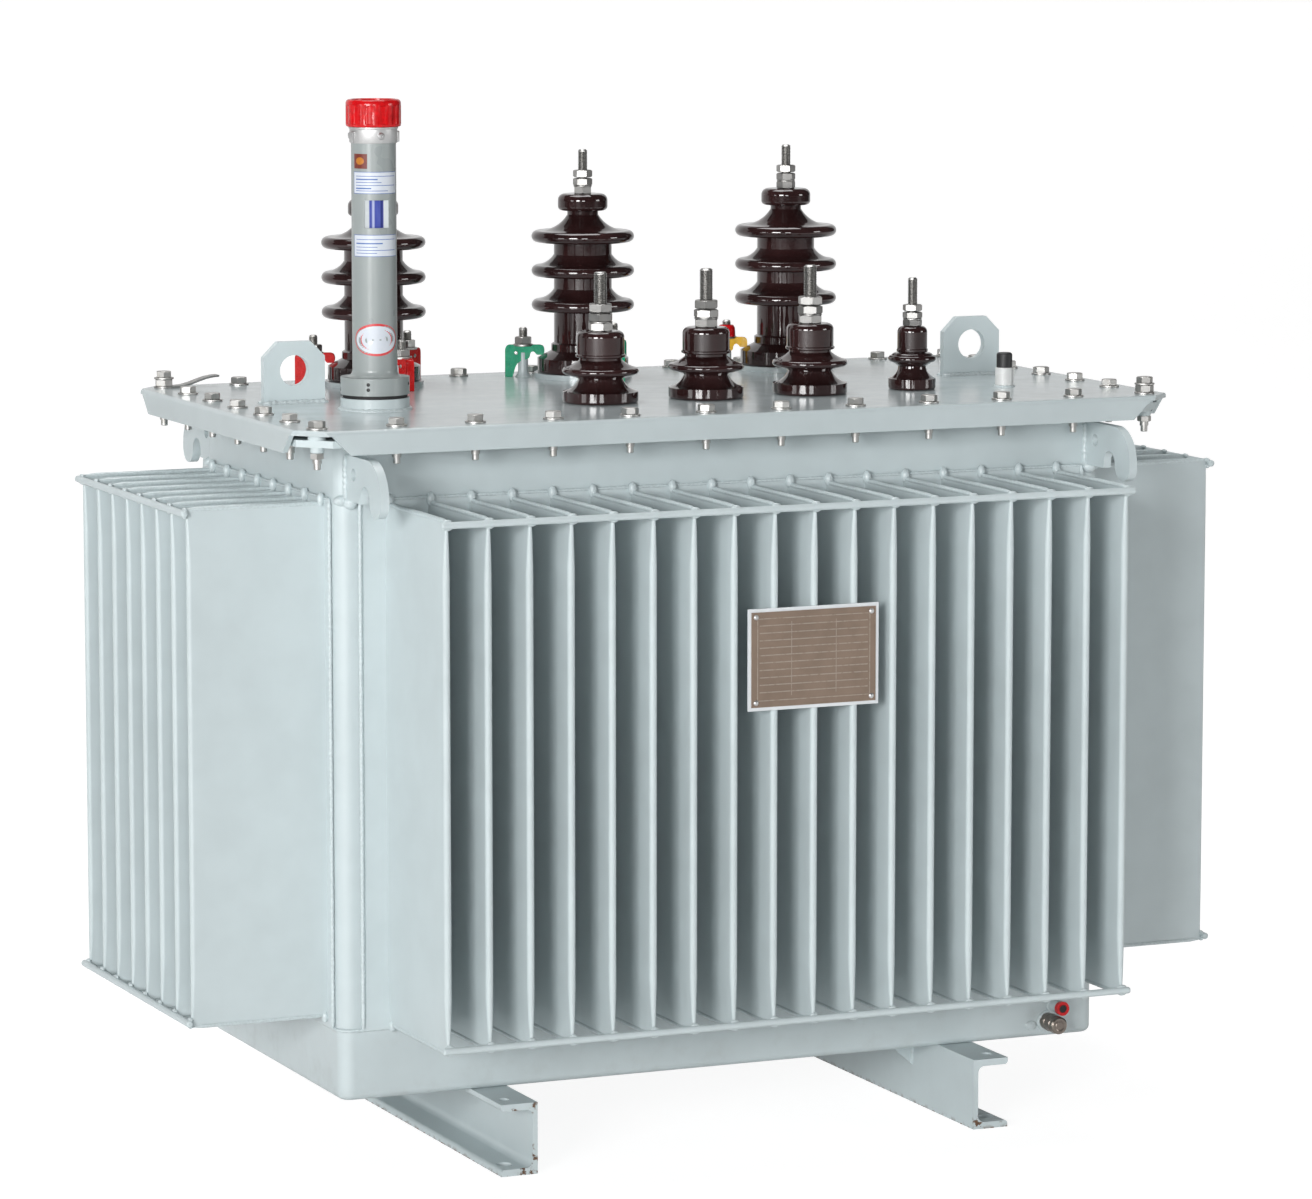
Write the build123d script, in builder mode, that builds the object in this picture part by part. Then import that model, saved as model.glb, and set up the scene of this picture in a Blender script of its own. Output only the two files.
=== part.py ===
"""Sealed oil-filled distribution transformer with pinched corrugated cooling walls.

Frame: +X to the right along the long front face, +Y away from the front, +Z up.
The origin is on the ground, at the middle of the four mounting holes in the skids.
Every length is in millimetres.
"""

import math
import os

from build123d import *

os.makedirs("parts", exist_ok=True)

# Tank
TANK_LENGTH = 972.0
TANK_WIDTH = 454.0
TANK_CORNER_R = 16.0
TROUGH_HEIGHT = 82.0
TROUGH_EDGE_R = 8.0
TANK_HEIGHT = 768.0

# Skids: two channels laid across the length of the tank, open outwards
SKID_HEIGHT = 84.0
SKID_WIDTH = 45.0
SKID_ROOT_R = 8.0
SKID_TOE_R = 4.0
SKID_REACH = 88.0
SKID_LENGTH = TANK_WIDTH + 2 * SKID_REACH
SKID_WEB = 6.0
SKID_FLANGE = 8.0
SKID_SETBACK = 200.5
SKID_WEB_X = TANK_LENGTH / 2 - SKID_SETBACK
SKID_HOLE_OFFSET = 24.5
SKID_HOLE_SETBACK = 28.0
SKID_HOLE_X = SKID_WEB_X + SKID_HOLE_OFFSET
SKID_HOLE_Y = SKID_LENGTH / 2 - SKID_HOLE_SETBACK
SKID_HOLE_R = 9.0
SKID_TOP_HOLE_R = 6.0
GUSSET_WIDTH = 44.0
GUSSET_HEIGHT = 38.0
GUSSET_THICK = 6.0
GUSSET_SETBACK = 168.0
GUSSET_Y = SKID_LENGTH / 2 - GUSSET_SETBACK

# Levels of the tank's weld and of its top
TROUGH_TOP_Z = SKID_HEIGHT + TROUGH_HEIGHT
TANK_TOP_Z = SKID_HEIGHT + TANK_HEIGHT

# Corrugated walls, the long ones in front and at the back, the short ones at the sides
WALL_SHEET = 3.0
WALL_DROP = 75.0
WALL_TOP_Z = TANK_TOP_Z - WALL_DROP
LONG_FIN_COUNT = 18
LONG_MARGIN = 61.0
LONG_PITCH = (TANK_LENGTH - 2 * LONG_MARGIN) / (LONG_FIN_COUNT - 1)
LONG_FIN_REACH = 180.0
LONG_PANEL_MARGIN = 26.0
LONG_FIN_RISE = 5.0
LONG_FIN_Z = TROUGH_TOP_Z + LONG_FIN_RISE
SIDE_FIN_COUNT = 8
SIDE_MARGIN = 39.4
SIDE_PITCH = (TANK_WIDTH - 2 * SIDE_MARGIN) / (SIDE_FIN_COUNT - 1)
SIDE_FIN_REACH = 164.0
SIDE_PANEL_MARGIN = 20.0
SIDE_FIN_RISE = 13.0
SIDE_FIN_Z = TROUGH_TOP_Z + SIDE_FIN_RISE
FIN_DROP = 6.0
FIN_TOP_Z = WALL_TOP_Z - FIN_DROP
FIN_THICK = 9.0
FIN_PINCH = 3.0
PINCH_RISE = 62.0
PINCH_BEND_SHARE = 0.4
PINCH_BEND_THICK = 0.45 * FIN_PINCH + 0.55 * FIN_THICK
ROD_R = 4.0
ROD_INSET = 4.0
ROD_OVERHANG = 9.0
ROD_END_R = 2.4

# Tank flange, gasket and folded cover
FLANGE_THICK = 8.0
GASKET_THICK = 6.0
GASKET_RIM = 14.0
COVER_OVERHANG_X = 68.5
COVER_OVERHANG_Y = 70.0
COVER_LENGTH = TANK_LENGTH + 2 * COVER_OVERHANG_X
COVER_WIDTH = TANK_WIDTH + 2 * COVER_OVERHANG_Y
COVER_THICK = 6.0
COVER_LIP = 28.0
COVER_CHAMFER = 32.0
COVER_BEND_R = 5.0
FLANGE_GAP = 3.0

# Lifting hooks on the tank corners and lifting lugs on the cover
HOOK_SETBACK = 15.0
HOOK_X = TANK_LENGTH / 2 - HOOK_SETBACK
HOOK_THICK = 10.0
HOOK_REACH = 113.0
HOOK_ARM = 37.0
HOOK_NOTCH_R = 14.0
HOOK_ROOT_HEIGHT = 52.0
HOOK_DROP = 22.0
HOOK_TOP_Z = TANK_TOP_Z - HOOK_DROP
HOOK_BOTTOM_Z = HOOK_TOP_Z - HOOK_ROOT_HEIGHT
HOOK_OUTER_R = 43.0
HOOK_HEIGHT = 63.5
HOOK_TIP_Z = HOOK_TOP_Z - HOOK_HEIGHT
HOOK_EYE_R = 7.0
HOOK_EYE_OUT = 26.0
HOOK_EYE_DROP = 21.0
LUG_SETBACK = 43.0
LUG_X = TANK_LENGTH / 2 - LUG_SETBACK
LUG_Y = 35.0
LUG_WIDTH = 76.0
LUG_HEIGHT = 72.0
LUG_THICK = 10.0
LUG_EYE_R = 18.0
LUG_EYE_Z = 38.0
LUG_CHAMFER = 18.0

# High-voltage bushings
HV_MIDDLE_X = -6.0
HV_SPACING = 274.0
HV_SETBACK = 29.0
HV_Y = TANK_WIDTH / 2 - HV_SETBACK
HV_SEAT_R = 60.0
HV_SEAT_HEIGHT = 6.0
HV_BASE_R = 56.0
HV_BASE_HEIGHT = 18.0
HV_BASE_ROUND = 3.0
HV_COLLAR_R = 39.0
HV_COLLAR_Z = 27.0
HV_COLLAR_HEIGHT = 8.0
HV_TRUNK_R = 35.5
HV_TRUNK_Z = 37.0
HV_SHED_R = 63.0
HV_SHED_TIPS = (167.0, 125.0, 83.0)
HV_SHED_DROP = 9.0
HV_SHED_SAG = 3.0
HV_SHED_RISE = 20.0
HV_TIP_R = 7.0
HV_HEIGHT = 219.0
HV_NECK_R = 19.0
HV_NECK_HEIGHT = 5.0
HV_CAP_R = 30.5
HV_CAP_HEIGHT = 20.5
HV_CAP_ROUND = 8.0
HV_CAP_UNDER_ROUND = 5.0
HV_STUD_R = 6.0
HV_STUD_TOP = 273.0
HV_NUT_WIDTH = 22.0
HV_NUT_HEIGHT = 10.0
NUT_COUNT = 3
STUD_CHAMFER = 1.0
NUT_CHAMFER_SHARE = 0.56
NUT_TURN = 17.0

# Clamps that hold the high-voltage bushings down
CLAMP_RADIUS = 73.5
CLAMP_ANGLES = (156.0, 36.0, 276.0)
CLAMP_THICK = 11.0
CLAMP_TOP = 38.0
CLAMP_LEG = 7.0
CLAMP_HEEL = 21.0
CLAMP_NOSE = 25.0
CLAMP_LIP = 8.0
CLAMP_NOSE_RISE = 22.3
CLAMP_ARCH_Z = 33.0
CLAMP_CROTCH_Z = 24.0
CLAMP_KNEE_Z = 16.0
CLAMP_TOP_ROUND = 4.0
CLAMP_NOSE_ROUND = 1.6
CLAMP_STUD_R = 6.0
CLAMP_STUD_TOP = 61.0
CLAMP_SPACER_R = 9.0
CLAMP_SPACER_HEIGHT = 24.0
CLAMP_WASHER_R = 12.0
CLAMP_WASHER_THICK = 2.5
CLAMP_NUT_WIDTH = 19.0
CLAMP_NUT_HEIGHT = 9.0

# Low-voltage bushings and the smaller neutral
LV_FIRST_X = -111.0
LV_SPACING = 135.5
LV_SETBACK = 122.0
LV_Y = LV_SETBACK - TANK_WIDTH / 2
LV_BASE_R = 44.5
LV_BASE_HEIGHT = 13.0
LV_BASE_SAG = 2.0
LV_BASE_ROUND = 3.0
LV_SHOULDER_Z = 18.0
LV_NECK_R = 26.0
LV_NECK_Z = 28.0
LV_SHED_R = 45.0
LV_SHED_Z = 37.0
LV_TIP_R = 4.0
LV_SHED_TOP_Z = 44.0
LV_CAP_R = 28.0
LV_CAP_HEIGHT = 31.0
LV_CAP_ROUND = 7.0
LV_GROOVE = 1.0
LV_GROOVE_HEIGHT = 3.0
LV_RIDGE_OUT = 1.4
LV_RIDGE_HEIGHT = 4.0
LV_HEIGHT = 84.0
LV_STUD_R = 8.0
LV_STUD_TOP = 153.0
LV_NUT_WIDTH = 27.0
LV_NUT_HEIGHT = 11.0
NEUTRAL_SCALE = 0.64
NEUTRAL_HEIGHT = 76.0
NEUTRAL_STUD_R = 6.0
NEUTRAL_STUD_TOP = 134.0
NEUTRAL_NUT_WIDTH = 22.0
NEUTRAL_NUT_HEIGHT = 9.0

# Oil gauge with its relief cap
GAUGE_SETBACK = 104.0
GAUGE_X = GAUGE_SETBACK - TANK_LENGTH / 2
GAUGE_Y = -75.0
GAUGE_FOOT_R = 40.0
GAUGE_FOOT_HEIGHT = 14.0
GAUGE_SEAL_R = 37.5
GAUGE_SEAL_HEIGHT = 4.0
GAUGE_FLANGE_HEIGHT = 20.0
GAUGE_TUBE_R = 26.0
GAUGE_TUBE_TOP = 308.0
GAUGE_FILLET = 8.0
GAUGE_RING_R = 29.5
GAUGE_RING_HEIGHT = 19.0
GAUGE_RING_CHAMFER = 1.5
RING_LUG_ANGLES = (-172.0, -14.0)
RING_LUG_WIDTH = 9.0
RING_LUG_HEIGHT = 12.5
RING_LUG_OUT = 2.0
RING_LUG_RISE = 1.5
GAUGE_CAP_R = 32.0
GAUGE_CAP_HEIGHT = 31.0
GAUGE_CAP_ROUND = 4.0
GAUGE_CAP_DISH_R = 25.5
GAUGE_CAP_DISH = 2.5
FLUTE_COUNT = 12
FLUTE_R = 14.0
FLUTE_DEPTH = 1.3
FLUTE_RISE = 3.0
FLUTE_TOP_DROP = 7.0
GAUGE_WINDOW_Z = 227.0
GAUGE_WINDOW_HEIGHT = 32.0
GAUGE_WINDOW_WIDTH = 28.0
GAUGE_WINDOW_DEPTH = 7.0
GAUGE_WINDOW_ANGLE = -103.0
GAUGE_GLASS_THICK = 2.0

# Thermometer pocket on the cover
POCKET_SETBACK = 74.0
POCKET_X = TANK_LENGTH / 2 - POCKET_SETBACK
POCKET_Y = -120.0
POCKET_R = 11.0
POCKET_HEIGHT = 23.0
POCKET_CHAMFER = 1.0
POCKET_CAP_R = 9.5
POCKET_CAP_HEIGHT = 18.0
POCKET_CAP_ROUND = 3.0

# Drain valve low on the front
DRAIN_SETBACK = 64.0
DRAIN_X = TANK_LENGTH / 2 - DRAIN_SETBACK
DRAIN_DROP = 63.0
DRAIN_Z = SKID_HEIGHT + TROUGH_HEIGHT - DRAIN_DROP
DRAIN_R = 10.5
DRAIN_REACH = 34.0
DRAIN_CHAMFER = 1.5
SAMPLER_DX = 9.0
SAMPLER_DZ = 18.5
SAMPLER_R = 7.5
SAMPLER_REACH = 19.0
SAMPLER_CAP_R = 8.5
SAMPLER_CAP_DEPTH = 6.0
SAMPLER_DISH_R = 5.0
SAMPLER_DISH = 2.0

# Blank rating plate on the front cooling wall
PLATE_X = 22.0
PLATE_DROP = 257.0
PLATE_Z = TANK_TOP_Z - PLATE_DROP
PLATE_WIDTH = 164.0
PLATE_HEIGHT = 117.0
PLATE_THICK = 2.0
PLATE_RIM = 4.0
PLATE_FACE_THICK = 1.0

# Earth strap on the back left cover bolt
STRAP_SETBACK_X = 35.5
STRAP_SETBACK_Y = 33.0
STRAP_X = STRAP_SETBACK_X - COVER_LENGTH / 2
STRAP_Y = COVER_WIDTH / 2 - STRAP_SETBACK_Y
STRAP_WIDTH = 16.0
STRAP_THICK = 2.5
STRAP_REACH = 62.0
STRAP_RISE = 12.0

# How far apart two levels may be and still count as the same, when edges are picked
TOUCH = 0.1

# Levels that follow from the sizes above
FLANGE_Z = TANK_TOP_Z - FLANGE_THICK
COVER_UNDER_Z = TANK_TOP_Z + GASKET_THICK
COVER_TOP_Z = COVER_UNDER_Z + COVER_THICK
FRONT_Y = -TANK_WIDTH / 2
HV_SEAT_Z = COVER_TOP_Z + HV_SEAT_HEIGHT
HV_PLACES = {
    letter: (HV_MIDDLE_X + (number - 1) * HV_SPACING, HV_Y)
    for number, letter in enumerate("abc")
}
LV_PLACES = {
    letter: (LV_FIRST_X + number * LV_SPACING, LV_Y) for number, letter in enumerate("abc")
}
NEUTRAL_PLACE = (LV_FIRST_X + 3 * LV_SPACING, LV_Y)


def save(piece, name):
    """Label a finished piece and write it to its own file."""
    piece.part.label = name
    export_step(piece.part, f"parts/{name}.step")


# Skids with the gussets welded inside them
for side, name in ((-1, "skid_left"), (1, "skid_right")):
    web_middle = side * (SKID_WEB_X - SKID_WEB / 2)
    flange_middle = side * (SKID_WEB_X - SKID_WEB + SKID_WIDTH / 2)
    with BuildPart() as skid:
        with BuildSketch(Plane.XZ.offset(-SKID_LENGTH / 2)):
            with Locations((web_middle, SKID_HEIGHT / 2)):
                Rectangle(SKID_WEB, SKID_HEIGHT)
            with Locations(
                (flange_middle, SKID_FLANGE / 2),
                (flange_middle, SKID_HEIGHT - SKID_FLANGE / 2),
            ):
                Rectangle(SKID_WIDTH, SKID_FLANGE)
        extrude(amount=SKID_LENGTH)
        inner_edges = skid.edges().filter_by(Axis.Y).filter_by_position(
            Axis.Z, SKID_FLANGE - TOUCH, SKID_HEIGHT - SKID_FLANGE + TOUCH
        )
        across = inner_edges.sort_by(Axis.X, reverse=side < 0)
        fillet(across[:2], SKID_ROOT_R)
        fillet(across[-2:], SKID_TOE_R)
        with BuildSketch(Plane.XY):
            with Locations(
                (side * SKID_HOLE_X, -SKID_HOLE_Y),
                (side * SKID_HOLE_X, SKID_HOLE_Y),
            ):
                Circle(SKID_HOLE_R)
        extrude(amount=SKID_FLANGE, mode=Mode.SUBTRACT)
        with BuildSketch(Plane.XY.offset(SKID_HEIGHT - SKID_FLANGE)):
            with Locations(
                (side * SKID_HOLE_X, -SKID_HOLE_Y),
                (side * SKID_HOLE_X, SKID_HOLE_Y),
            ):
                Circle(SKID_TOP_HOLE_R)
        extrude(amount=SKID_FLANGE, mode=Mode.SUBTRACT)
        inner_x = side * (SKID_WEB_X - SKID_WEB)
        for gusset_y in (-GUSSET_Y, GUSSET_Y):
            with BuildSketch(Plane.XZ.offset(-gusset_y - GUSSET_THICK / 2)):
                with BuildLine():
                    Polyline(
                        (inner_x, SKID_HEIGHT),
                        (inner_x - side * GUSSET_WIDTH, SKID_HEIGHT),
                        (inner_x, SKID_HEIGHT - GUSSET_HEIGHT),
                        close=True,
                    )
                make_face()
            extrude(amount=GUSSET_THICK)
    save(skid, name)

# Tank: a bottom box with folded edges, and the body above its weld
with BuildPart() as tank_bottom:
    with BuildSketch(Plane.XY.offset(SKID_HEIGHT)):
        RectangleRounded(TANK_LENGTH, TANK_WIDTH, TANK_CORNER_R)
    extrude(amount=TROUGH_HEIGHT)
    fillet(tank_bottom.faces().sort_by(Axis.Z)[0].edges(), TROUGH_EDGE_R)
save(tank_bottom, "tank_bottom")

with BuildPart() as tank_body:
    with BuildSketch(Plane.XY.offset(TROUGH_TOP_Z)):
        RectangleRounded(TANK_LENGTH, TANK_WIDTH, TANK_CORNER_R)
    extrude(amount=TANK_TOP_Z - TROUGH_TOP_Z)
save(tank_body, "tank_body")


def pinched_fin(height, reach):
    """One folded fin with a rounded nose, pressed shut at both ends.

    It stands on the origin, is rooted inside the panel and reaches towards -Y.
    """
    levels = (
        (0.0, FIN_PINCH),
        (PINCH_BEND_SHARE * PINCH_RISE, PINCH_BEND_THICK),
        (PINCH_RISE, FIN_THICK),
        (height - PINCH_RISE, FIN_THICK),
        (height - PINCH_BEND_SHARE * PINCH_RISE, PINCH_BEND_THICK),
        (height, FIN_PINCH),
    )
    with BuildPart() as fin:
        for level, thickness in levels:
            half = thickness / 2
            with BuildSketch(Plane.XY.offset(level)):
                with BuildLine():
                    Line((-half, WALL_SHEET / 2), (-half, half - reach))
                    ThreePointArc((-half, half - reach), (0, -reach), (half, half - reach))
                    Line((half, half - reach), (half, WALL_SHEET / 2))
                    Line((half, WALL_SHEET / 2), (-half, WALL_SHEET / 2))
                make_face()
        loft(ruled=True)
    return fin.part


def fin_wall(count, pitch, reach, panel, fin_z):
    """A corrugated wall: the sheet with its fins, its back face on the XZ plane."""
    fin = pinched_fin(FIN_TOP_Z - fin_z, reach + WALL_SHEET / 2)
    with BuildPart() as wall:
        with BuildSketch(Plane.XY.offset(TROUGH_TOP_Z)):
            with Locations((0, -WALL_SHEET / 2)):
                Rectangle(panel, WALL_SHEET)
        extrude(amount=WALL_TOP_Z - TROUGH_TOP_Z)
        with Locations(
            *[
                ((number - (count - 1) / 2) * pitch, -WALL_SHEET / 2, fin_z)
                for number in range(count)
            ]
        ):
            add(fin)
    return wall.part


def rod_pair(length, fin_z):
    """Two round bars laid across the fin noses, their contact line on the XZ plane."""
    with BuildPart() as rods:
        with BuildSketch(Plane.YZ.offset(-length / 2)):
            with Locations(
                (-ROD_R, fin_z + ROD_INSET),
                (-ROD_R, FIN_TOP_Z - ROD_INSET),
            ):
                Circle(ROD_R)
        extrude(amount=length)
        fillet(rods.edges().filter_by(GeomType.CIRCLE), ROD_END_R)
    return rods.part


LONG_PANEL = TANK_LENGTH - 2 * LONG_PANEL_MARGIN
SIDE_PANEL = TANK_WIDTH - 2 * SIDE_PANEL_MARGIN
long_wall = fin_wall(LONG_FIN_COUNT, LONG_PITCH, LONG_FIN_REACH, LONG_PANEL, LONG_FIN_Z)
side_wall = fin_wall(SIDE_FIN_COUNT, SIDE_PITCH, SIDE_FIN_REACH, SIDE_PANEL, SIDE_FIN_Z)
long_rods = rod_pair((LONG_FIN_COUNT - 1) * LONG_PITCH + 2 * ROD_OVERHANG, LONG_FIN_Z)
side_rods = rod_pair((SIDE_FIN_COUNT - 1) * SIDE_PITCH + 2 * ROD_OVERHANG, SIDE_FIN_Z)

for name, wall, rods, reach, offset, turn in (
    ("front", long_wall, long_rods, LONG_FIN_REACH, TANK_WIDTH / 2, 0),
    ("right", side_wall, side_rods, SIDE_FIN_REACH, TANK_LENGTH / 2, 90),
    ("back", long_wall, long_rods, LONG_FIN_REACH, TANK_WIDTH / 2, 180),
    ("left", side_wall, side_rods, SIDE_FIN_REACH, TANK_LENGTH / 2, 270),
):
    out_x = math.sin(math.radians(turn))
    out_y = -math.cos(math.radians(turn))
    with BuildPart() as cooling_wall:
        with Locations(Location((out_x * offset, out_y * offset, 0), (0, 0, turn))):
            add(wall)
    save(cooling_wall, f"{name}_fin_wall")
    rod_offset = offset + WALL_SHEET + reach
    with BuildPart() as fin_rods:
        with Locations(Location((out_x * rod_offset, out_y * rod_offset, 0), (0, 0, turn))):
            add(rods)
    save(fin_rods, f"{name}_fin_rods")

# Flange round the tank top, gasket on it, and the cover with folded lips
FLANGE_LENGTH = COVER_LENGTH - 2 * (COVER_THICK + FLANGE_GAP)
FLANGE_WIDTH = COVER_WIDTH - 2 * (COVER_THICK + FLANGE_GAP)

with BuildPart() as tank_flange:
    with BuildSketch(Plane.XY.offset(FLANGE_Z)) as flange_outline:
        Rectangle(FLANGE_LENGTH, FLANGE_WIDTH)
        chamfer(flange_outline.vertices(), COVER_CHAMFER)
        RectangleRounded(TANK_LENGTH, TANK_WIDTH, TANK_CORNER_R, mode=Mode.SUBTRACT)
    extrude(amount=FLANGE_THICK)
save(tank_flange, "tank_flange")

with BuildPart() as cover_gasket:
    with BuildSketch(Plane.XY.offset(TANK_TOP_Z)):
        Rectangle(TANK_LENGTH + 2 * GASKET_RIM, TANK_WIDTH + 2 * GASKET_RIM)
        Rectangle(
            TANK_LENGTH - 2 * GASKET_RIM, TANK_WIDTH - 2 * GASKET_RIM, mode=Mode.SUBTRACT
        )
    extrude(amount=GASKET_THICK)
save(cover_gasket, "cover_gasket")

with BuildPart() as tank_cover:
    with BuildSketch(Plane.XY.offset(COVER_UNDER_Z)) as cover_outline:
        Rectangle(COVER_LENGTH, COVER_WIDTH)
        chamfer(cover_outline.vertices(), COVER_CHAMFER)
    extrude(amount=COVER_THICK)
    for lip_plane, span, reach in (
        (Plane.XZ, COVER_LENGTH, COVER_WIDTH / 2),
        (Plane.YZ, COVER_WIDTH, COVER_LENGTH / 2),
    ):
        half_top = span / 2 - COVER_CHAMFER
        for offset in (-reach, reach - COVER_THICK):
            with BuildSketch(lip_plane.offset(offset)):
                with BuildLine():
                    Polyline(
                        (-half_top, COVER_TOP_Z),
                        (half_top, COVER_TOP_Z),
                        (half_top - COVER_LIP, COVER_TOP_Z - COVER_LIP),
                        (COVER_LIP - half_top, COVER_TOP_Z - COVER_LIP),
                        close=True,
                    )
                make_face()
            extrude(amount=COVER_THICK)
    long_bends = tank_cover.edges().filter_by(Axis.X).filter_by_position(
        Axis.Z, COVER_TOP_Z - TOUCH, COVER_TOP_Z + TOUCH
    )
    short_bends = tank_cover.edges().filter_by(Axis.Y).filter_by_position(
        Axis.Z, COVER_TOP_Z - TOUCH, COVER_TOP_Z + TOUCH
    )
    fillet(long_bends + short_bends, COVER_BEND_R)
    with BuildSketch(Plane.XY.offset(COVER_TOP_Z)):
        with Locations(*HV_PLACES.values()):
            Circle(HV_SEAT_R)
    extrude(amount=HV_SEAT_HEIGHT)
save(tank_cover, "tank_cover")

# Lifting hooks: flat plates welded to the front and back walls near the corners
ARM_IN = HOOK_REACH - HOOK_ARM
NOTCH_IN = ARM_IN - 2 * HOOK_NOTCH_R
ARM_END_Z = HOOK_TIP_Z + HOOK_ARM / 2

for row, row_name in ((-1, "front"), (1, "back")):
    for side, side_name in ((-1, "left"), (1, "right")):

        def spot(out, level, row=row):
            """A point of the hook's outline: its distance from the wall and its level."""
            return (row * (TANK_WIDTH / 2 + out), level)

        with BuildPart() as hook:
            with BuildSketch(Plane.YZ.offset(side * HOOK_X - HOOK_THICK / 2)):
                with BuildLine():
                    Polyline(
                        spot(NOTCH_IN, ARM_END_Z),
                        spot(NOTCH_IN, HOOK_BOTTOM_Z),
                        spot(0, HOOK_BOTTOM_Z),
                        spot(0, HOOK_TOP_Z),
                        spot(HOOK_REACH - HOOK_OUTER_R, HOOK_TOP_Z),
                    )
                    bend = HOOK_OUTER_R * (1 - math.cos(math.radians(45)))
                    ThreePointArc(
                        spot(HOOK_REACH - HOOK_OUTER_R, HOOK_TOP_Z),
                        spot(HOOK_REACH - bend, HOOK_TOP_Z - bend),
                        spot(HOOK_REACH, HOOK_TOP_Z - HOOK_OUTER_R),
                    )
                    Line(spot(HOOK_REACH, HOOK_TOP_Z - HOOK_OUTER_R), spot(HOOK_REACH, ARM_END_Z))
                    ThreePointArc(
                        spot(HOOK_REACH, ARM_END_Z),
                        spot(HOOK_REACH - HOOK_ARM / 2, HOOK_TIP_Z),
                        spot(ARM_IN, ARM_END_Z),
                    )
                    ThreePointArc(
                        spot(ARM_IN, ARM_END_Z),
                        spot(ARM_IN - HOOK_NOTCH_R, ARM_END_Z + HOOK_NOTCH_R),
                        spot(NOTCH_IN, ARM_END_Z),
                    )
                make_face()
                with Locations(spot(HOOK_EYE_OUT, HOOK_TOP_Z - HOOK_EYE_DROP)):
                    Circle(HOOK_EYE_R, mode=Mode.SUBTRACT)
            extrude(amount=HOOK_THICK)
        save(hook, f"lifting_hook_{row_name}_{side_name}")

# Lifting lugs on the cover
for side, side_name in ((-1, "left"), (1, "right")):
    with BuildPart() as lug:
        with BuildSketch(Plane.XZ.offset(-LUG_Y - LUG_THICK / 2)) as lug_face:
            with Locations((side * LUG_X, COVER_TOP_Z + LUG_HEIGHT / 2)):
                Rectangle(LUG_WIDTH, LUG_HEIGHT)
            chamfer(lug_face.vertices().group_by(Axis.Y)[-1], LUG_CHAMFER)
            with Locations((side * LUG_X, COVER_TOP_Z + LUG_EYE_Z)):
                Circle(LUG_EYE_R, mode=Mode.SUBTRACT)
        extrude(amount=LUG_THICK)
    save(lug, f"lifting_lug_{side_name}")


def hv_porcelain():
    """The high-voltage porcelain, turned about Z with its foot on the XY plane."""
    with BuildPart() as porcelain:
        with BuildSketch(Plane.XZ):
            with BuildLine():
                cap_foot = HV_HEIGHT - HV_CAP_HEIGHT
                neck_z = cap_foot - HV_NECK_HEIGHT
                level = HV_TRUNK_Z
                Line((0, 0), (HV_BASE_R - HV_BASE_ROUND, 0))
                RadiusArc(
                    (HV_BASE_R - HV_BASE_ROUND, 0), (HV_BASE_R, HV_BASE_ROUND), -HV_BASE_ROUND
                )
                Polyline(
                    (HV_BASE_R, HV_BASE_ROUND),
                    (HV_BASE_R, HV_BASE_HEIGHT),
                    (HV_COLLAR_R, HV_COLLAR_Z),
                    (HV_COLLAR_R, HV_COLLAR_Z + HV_COLLAR_HEIGHT),
                    (HV_TRUNK_R, level),
                )
                for tip in reversed(HV_SHED_TIPS):
                    is_top = tip == max(HV_SHED_TIPS)
                    edge_r = HV_SHED_R - HV_TIP_R
                    Line((HV_TRUNK_R, level), (HV_TRUNK_R, tip - HV_SHED_DROP))
                    Line((HV_TRUNK_R, tip - HV_SHED_DROP), (edge_r, tip - HV_TIP_R))
                    ThreePointArc((edge_r, tip - HV_TIP_R), (HV_SHED_R, tip), (edge_r, tip + HV_TIP_R))
                    neck = HV_NECK_R if is_top else HV_TRUNK_R
                    level = neck_z if is_top else tip + HV_SHED_RISE
                    middle = ((neck + HV_SHED_R) / 2 - HV_SHED_SAG, (2 * tip + HV_SHED_RISE) / 2)
                    ThreePointArc((edge_r, tip + HV_TIP_R), middle, (neck, level))
                Polyline(
                    (HV_NECK_R, level),
                    (HV_NECK_R, cap_foot),
                    (HV_CAP_R - HV_CAP_UNDER_ROUND, cap_foot),
                )
                RadiusArc(
                    (HV_CAP_R - HV_CAP_UNDER_ROUND, cap_foot),
                    (HV_CAP_R, cap_foot + HV_CAP_UNDER_ROUND),
                    -HV_CAP_UNDER_ROUND,
                )
                Line(
                    (HV_CAP_R, cap_foot + HV_CAP_UNDER_ROUND),
                    (HV_CAP_R, HV_HEIGHT - HV_CAP_ROUND),
                )
                RadiusArc(
                    (HV_CAP_R, HV_HEIGHT - HV_CAP_ROUND),
                    (HV_CAP_R - HV_CAP_ROUND, HV_HEIGHT),
                    -HV_CAP_ROUND,
                )
                Polyline((HV_CAP_R - HV_CAP_ROUND, HV_HEIGHT), (0, HV_HEIGHT), (0, 0))
            make_face()
        revolve(axis=Axis.Z)
    return porcelain.part


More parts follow.
